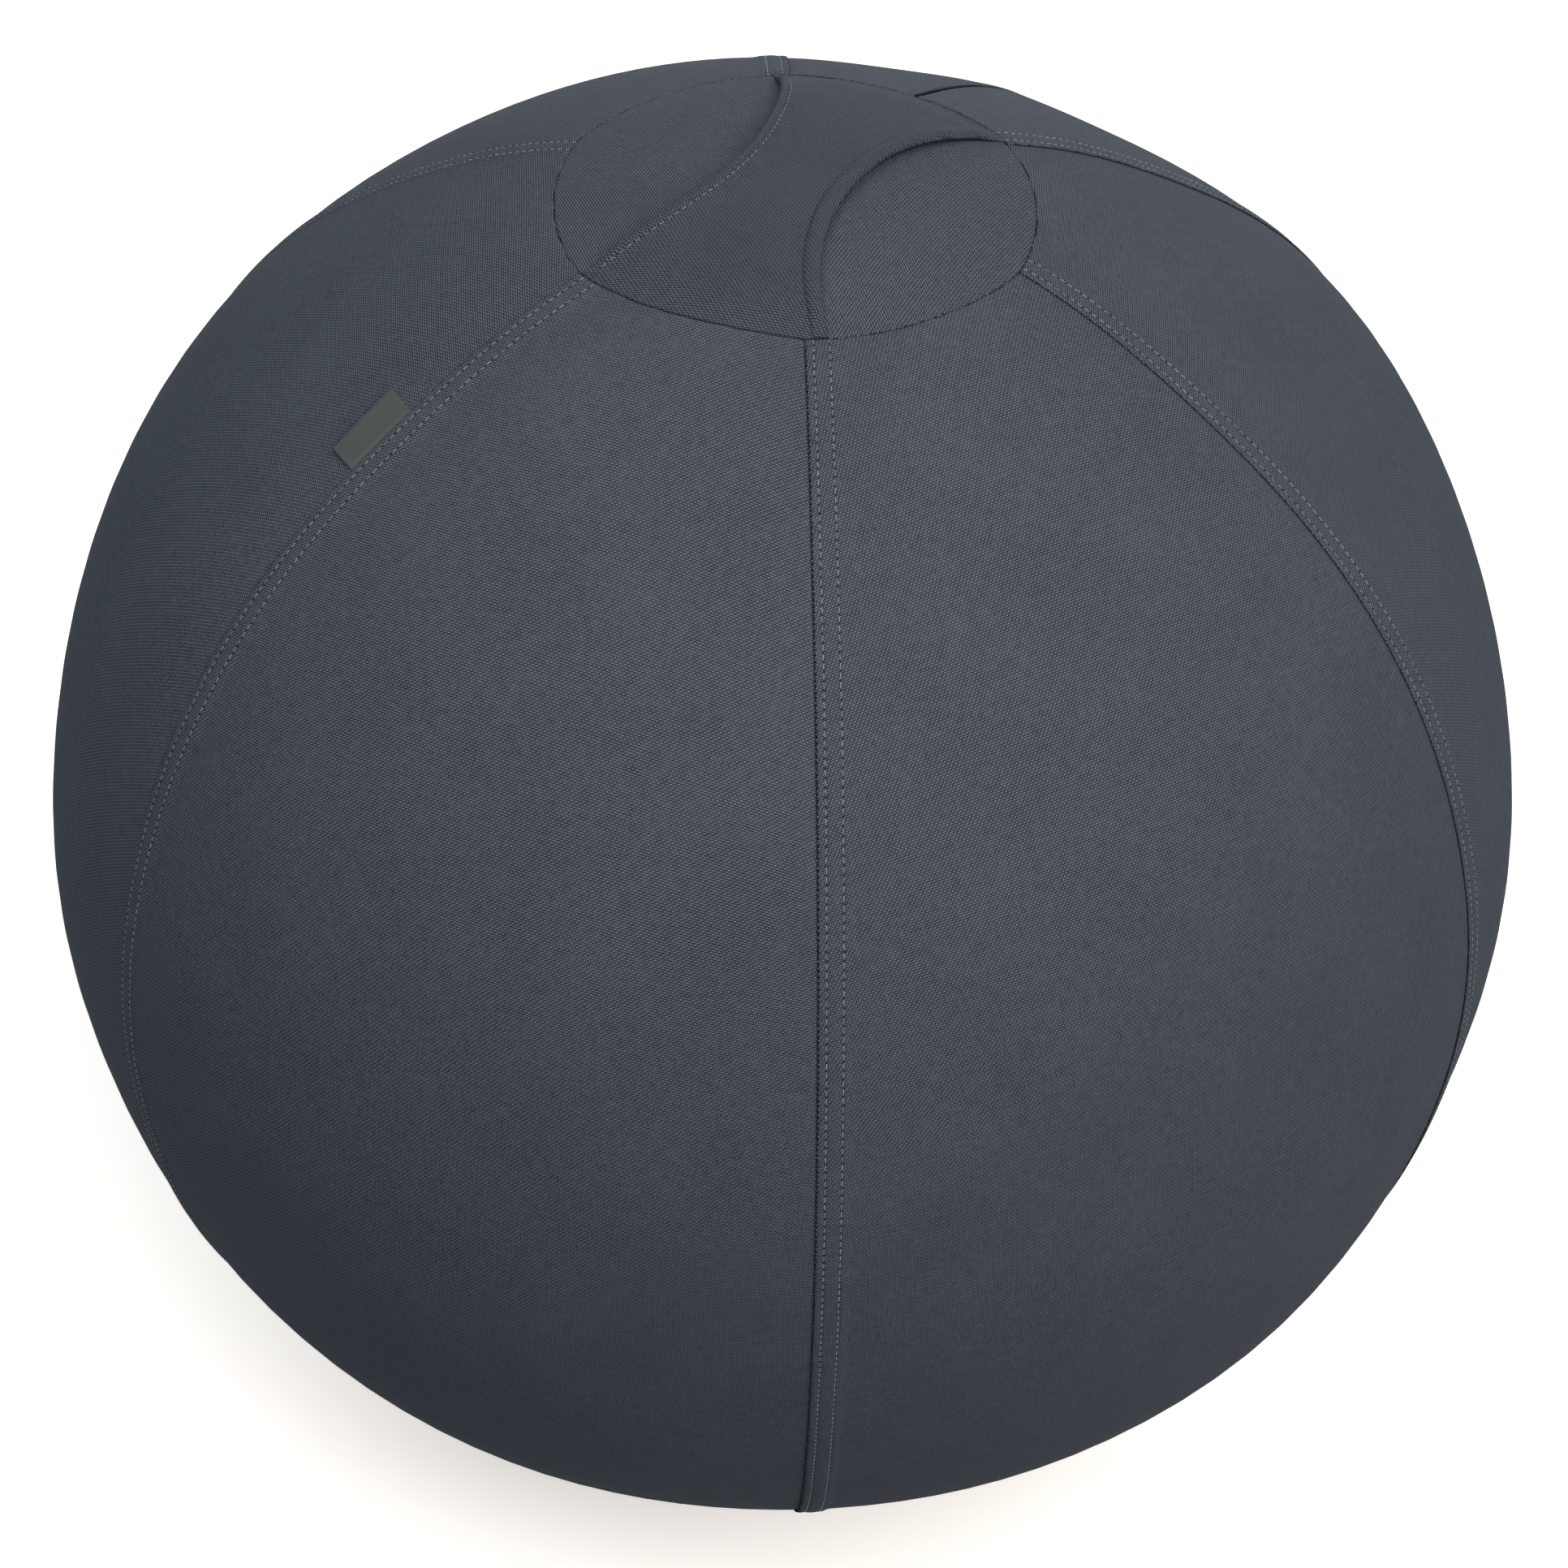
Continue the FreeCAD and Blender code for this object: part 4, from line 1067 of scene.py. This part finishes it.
def zip_coil(side, way):
    """A row of coil: loops of a round filament, each a ring of the filament's section carried round an oval
    that leans along the zip."""
    first, last = math.radians(24.7), math.radians(121.25)
    path, pitch, filament, lean = 321, 1.5, 0.4, 0.5
    count = int((last - first) * path / pitch)
    middle = first + (np.arange(count) + 0.5) * (last - first) / count
    turn = full_turn(8)
    ring = full_turn(4) + math.pi / 4
    reach = 1.0 + filament * np.cos(ring)
    oval = reach[None, :] * np.cos(turn)[:, None], reach[None, :] * np.sin(turn)[:, None]
    sideways = way * (2.7 + 1.06 * oval[0])[None]
    radius = (320.8 + 0.7 * oval[1])[None]
    step = (filament * np.sin(ring) / path)[None, None, :] + (lean * np.sin(turn) / path)[None, :, None]
    points = zip_points(radius, middle[:, None, None] + step, sideways)
    loop = grid_faces(len(turn), len(ring), around=True, along=True)
    return mesh_object(f"zip_coil_{side}", points, repeated([loop], count, len(turn) * len(ring)))


class SITTINGBALL_OT_zip(bpy.types.Operator):
    """Lay the two tapes and rows of coil inside the slit, and finish the slider, pull and stops"""

    bl_idname = "sitting_ball.zip"
    bl_label = "Zip"

    def execute(self, context):
        tape_cloth, nylon = tape_material(), coil_material()
        for side, way in (("right", -1), ("left", 1)):
            tape = zip_tape(side, way)
            finish_piece(tape, BODY_COVER, "zip_tape", tape_cloth, f"zip_tape_{side}")
            finish_piece(zip_coil(side, way), BODY_COVER, "zip_coil", nylon, f"zip_teeth_{side}")
        stops = "zip_end_stop_right", "zip_end_stop_left", "zip_start_stop"
        dress_nodes(fitting_material(), "zip_slider", "zip_pull", *stops)
        return {"FINISHED"}


# Inside


BAG_TOP = 22.7


def ball_skin():
    """The inflated ball: a sphere that follows the cover's swelling, less a groove along the zip, with its
    underside flat over the ballast."""
    radius, groove_depth, gap = 322.6, 6.6, 0.5
    slit, first, last = math.radians(SLIT), math.radians(18.2), math.radians(124.4)
    flat = BAG_TOP + gap - centre_height()
    polar = np.linspace(0.004, math.acos(flat / radius), 200)[:, None]
    turn = full_turn(360)[None, :] + slit
    beside = np.abs(radius * np.sin(polar) * np.sin(turn - slit))
    near = (np.cos(turn - slit) > 0) & (polar > first) & (polar < last)
    groove = groove_depth * (1 - smooth(beside, 9.5, 13.5)) * near
    sphere = on_ball(radius + swelling(polar, turn) - groove, polar, turn)
    underside = np.linspace(1, 0.01, 20)[1:, None, None] * (sphere[-1] * (1, 1, 0))[None]
    underside = underside + np.array((0, 0, sphere[-1, 0, 2]))
    points = np.concatenate([sphere, underside])
    return mesh_object("ball_skin", points, tube_faces(*points.shape[:2]))


def ballast_bag(name, inset, count):
    """A flat round bag, turned round the ball's axis: its radius grows from floor to top, and its edge is a
    half round. The sand has the same form, set in by the inset."""
    low, high = 1.9 + inset, BAG_TOP - inset
    foot, flare, bulge, core = 62 - inset, 9, 4, 2
    arc = np.linspace(-math.pi / 2, math.pi / 2, 13)
    out = foot + flare * (np.sin(arc) + 1) + bulge * np.cos(arc)
    up = (low + high) / 2 + (high - low) / 2 * np.sin(arc)
    ins = np.linspace(0, 1, 10)[1:-1]
    bottom = np.stack((core + (out[0] - core) * ins, 0 * ins + low), axis=-1)
    top = np.stack((core + (out[-1] - core) * ins[::-1], 0 * ins + high), axis=-1)
    points = lathe(np.concatenate([bottom, np.stack((out, up), axis=-1), top]), count)
    return mesh_object(name, points, tube_faces(*points.shape[:2]), disc_threads(points, 0.0))


class SITTINGBALL_OT_inside(bpy.types.Operator):
    """Fill the cover: the inflated ball with its valve, and the bag of sand under it"""

    bl_idname = "sitting_ball.inside"
    bl_label = "Inner ball and ballast"

    def execute(self, context):
        finish_piece(ball_skin(), BODY_COVER, "ball_skin", vinyl_material(), "inner_ball")
        pouch = ballast_bag("ballast_bag", 0.0, 120)
        finish_piece(pouch, BODY_COVER, "pouch_cloth", lining_material(), "ballast_pouch")
        grains = ballast_bag("ballast_grains", 1.2, 96)
        finish_piece(grains, BODY_COVER, "sand", sand_material(), "ballast_sand")
        dress_nodes(valve_material(), "valve_seat", "valve_plug")
        return {"FINISHED"}


# Stage


class SITTINGBALL_OT_stage(bpy.types.Operator):
    """Set the floor, the wall, the soft lights and the camera"""

    bl_idname = "sitting_ball.stage"
    bl_label = "Stage"

    def execute(self, context):
        context.scene.view_settings.view_transform = "Standard"
        self.ground()
        self.sky(context.scene)
        self.light("key", (1.8, -1.04, 2.48), 2.2, 97, (1, 0.935, 0.9))
        self.light("fill", (-0.43, -1.19, 3.04), 2.2, 41, (1, 0.95, 0.92))
        self.light("back", (-1.33, 2.61, 0.6), 1.4, 28, (1, 0.97, 0.93))
        self.camera(context.scene)
        return {"FINISHED"}

    def ground(self):
        """A wide floor, a hair lower than the ball's foot, and a round wall far off."""
        reach, wall_radius, wall_height, sunk = 6000, 5900, 6000, 0.2
        across = np.linspace(-reach, reach, 25)
        x, y = np.meshgrid(across, across)
        points = np.stack((x, y, 0 * x - sunk), axis=-1)
        floor = mesh_object("studio_floor", points, [grid_faces(25, 25)], closed=False)
        floor.data.materials.append(paint_material("painted_floor"))
        # The floor throws no light up at the ball, as if dark flags stood round it.
        floor.visible_diffuse = False
        turn = full_turn(96)
        ring = np.stack((wall_radius * np.cos(turn), wall_radius * np.sin(turn), 0 * turn), axis=-1)
        points = np.stack((ring - (0, 0, sunk), ring + (0, 0, wall_height)))
        wall = mesh_object("studio_wall", points, [grid_faces(2, len(turn), around=True)], closed=False)
        wall.data.materials.append(paint_material("painted_wall"))
        # The wall is there for the eye alone: the sky's light comes in through it.
        wall.visible_diffuse = wall.visible_glossy = wall.visible_shadow = False

    def sky(self, scene):
        """A weak blue light, stronger from above than from below."""
        world = bpy.data.worlds.new("studio")
        scene.world = world
        world.use_nodes = True
        tree = world.node_tree
        inputs = tree.nodes["Background"].inputs
        inputs["Color"].default_value = (0.37, 0.72, 1, 1)
        up = add(tree, "SeparateXYZ", {0: add(tree, "TexCoord").outputs["Generated"]}).outputs[2]
        strength = add(tree, "MapRange", {0: up, 1: -0.2, 2: 0.3, 3: 0.08, 4: 0.28}).outputs[0]
        tree.links.new(strength, inputs["Strength"])

    def light(self, name, place, size, power, tint):
        """A square soft box that faces the middle of the ball, out of the camera's sight."""
        lamp = bpy.data.lights.new(name, "AREA")
        lamp.size = size
        lamp.energy = power
        lamp.color = tint
        item = bpy.data.objects.new(name, lamp)
        item.visible_camera = False
        back = unit(np.array(place) - np.array((0, 0, centre_height() * MM)))
        self.stand(item, unit(np.cross((0, 0, 1), back)), back, place)

    def camera(self, scene):
        """The photograph's view: a long lens that looks down at the ball, rolled a little."""
        azimuth, elevation, roll = (math.radians(angle) for angle in (26.95, 40.59, 1.29))
        distance = 1.9175
        lens = bpy.data.cameras.new("photo_camera")
        lens.sensor_width = 36
        lens.lens = 97.6
        lens.shift_x, lens.shift_y = 0.0012, 0.0011
        lens.clip_start, lens.clip_end = 0.05, 50
        item = bpy.data.objects.new("photo_camera", lens)
        out = math.cos(elevation)
        back = np.array((math.sin(azimuth) * out, -math.cos(azimuth) * out, math.sin(elevation)))
        level = np.array((math.cos(azimuth), math.sin(azimuth), 0))
        right = math.cos(roll) * level + math.sin(roll) * np.cross(back, level)
        self.stand(item, right, back, np.array((0, 0, centre_height() * MM)) + back * distance)
        scene.camera = item

    def stand(self, item, right, back, place):
        """Links a light or a camera, puts it in its place and turns its right and its back those ways."""
        bpy.context.scene.collection.objects.link(item)
        axes = right, np.cross(back, right), back
        item.matrix_world = Matrix([(*axis, at) for axis, at in zip(zip(*axes), place)] + [(0, 0, 0, 1)])


OPERATORS = (
    SITTINGBALL_OT_panels,
    SITTINGBALL_OT_topstitching,
    SITTINGBALL_OT_crown,
    SITTINGBALL_OT_strap,
    SITTINGBALL_OT_label,
    SITTINGBALL_OT_base,
    SITTINGBALL_OT_zip,
    SITTINGBALL_OT_inside,
    SITTINGBALL_OT_stage,
)


class SITTINGBALL_PT_sidebar(bpy.types.Panel):
    """Pieces, sizes and colours of the sitting ball"""

    bl_idname = "SITTINGBALL_PT_sidebar"
    bl_label = "Sitting ball"
    bl_space_type = "VIEW_3D"
    bl_region_type = "UI"
    bl_category = "Sitting ball"

    def draw(self, context):
        for kind in OPERATORS:
            self.layout.operator(kind.bl_idname)
        for group in (context.scene.sitting_ball_sizes, context.scene.sitting_ball_colours):
            box = self.layout.box()
            for key in group.__annotations__:
                box.prop(group, key)


CLASSES = (SittingBallSizes, SittingBallColours, *OPERATORS, SITTINGBALL_PT_sidebar)


def register():
    for kind in CLASSES:
        bpy.utils.register_class(kind)
    bpy.types.Scene.sitting_ball_sizes = bpy.props.PointerProperty(type=SittingBallSizes)
    bpy.types.Scene.sitting_ball_colours = bpy.props.PointerProperty(type=SittingBallColours)


def unregister():
    del bpy.types.Scene.sitting_ball_colours
    del bpy.types.Scene.sitting_ball_sizes
    for kind in reversed(CLASSES):
        bpy.utils.unregister_class(kind)


def main():
    register()
    for kind in OPERATORS:
        family, name = kind.bl_idname.split(".")
        getattr(getattr(bpy.ops, family), name)()


if __name__ == "__main__":
    main()
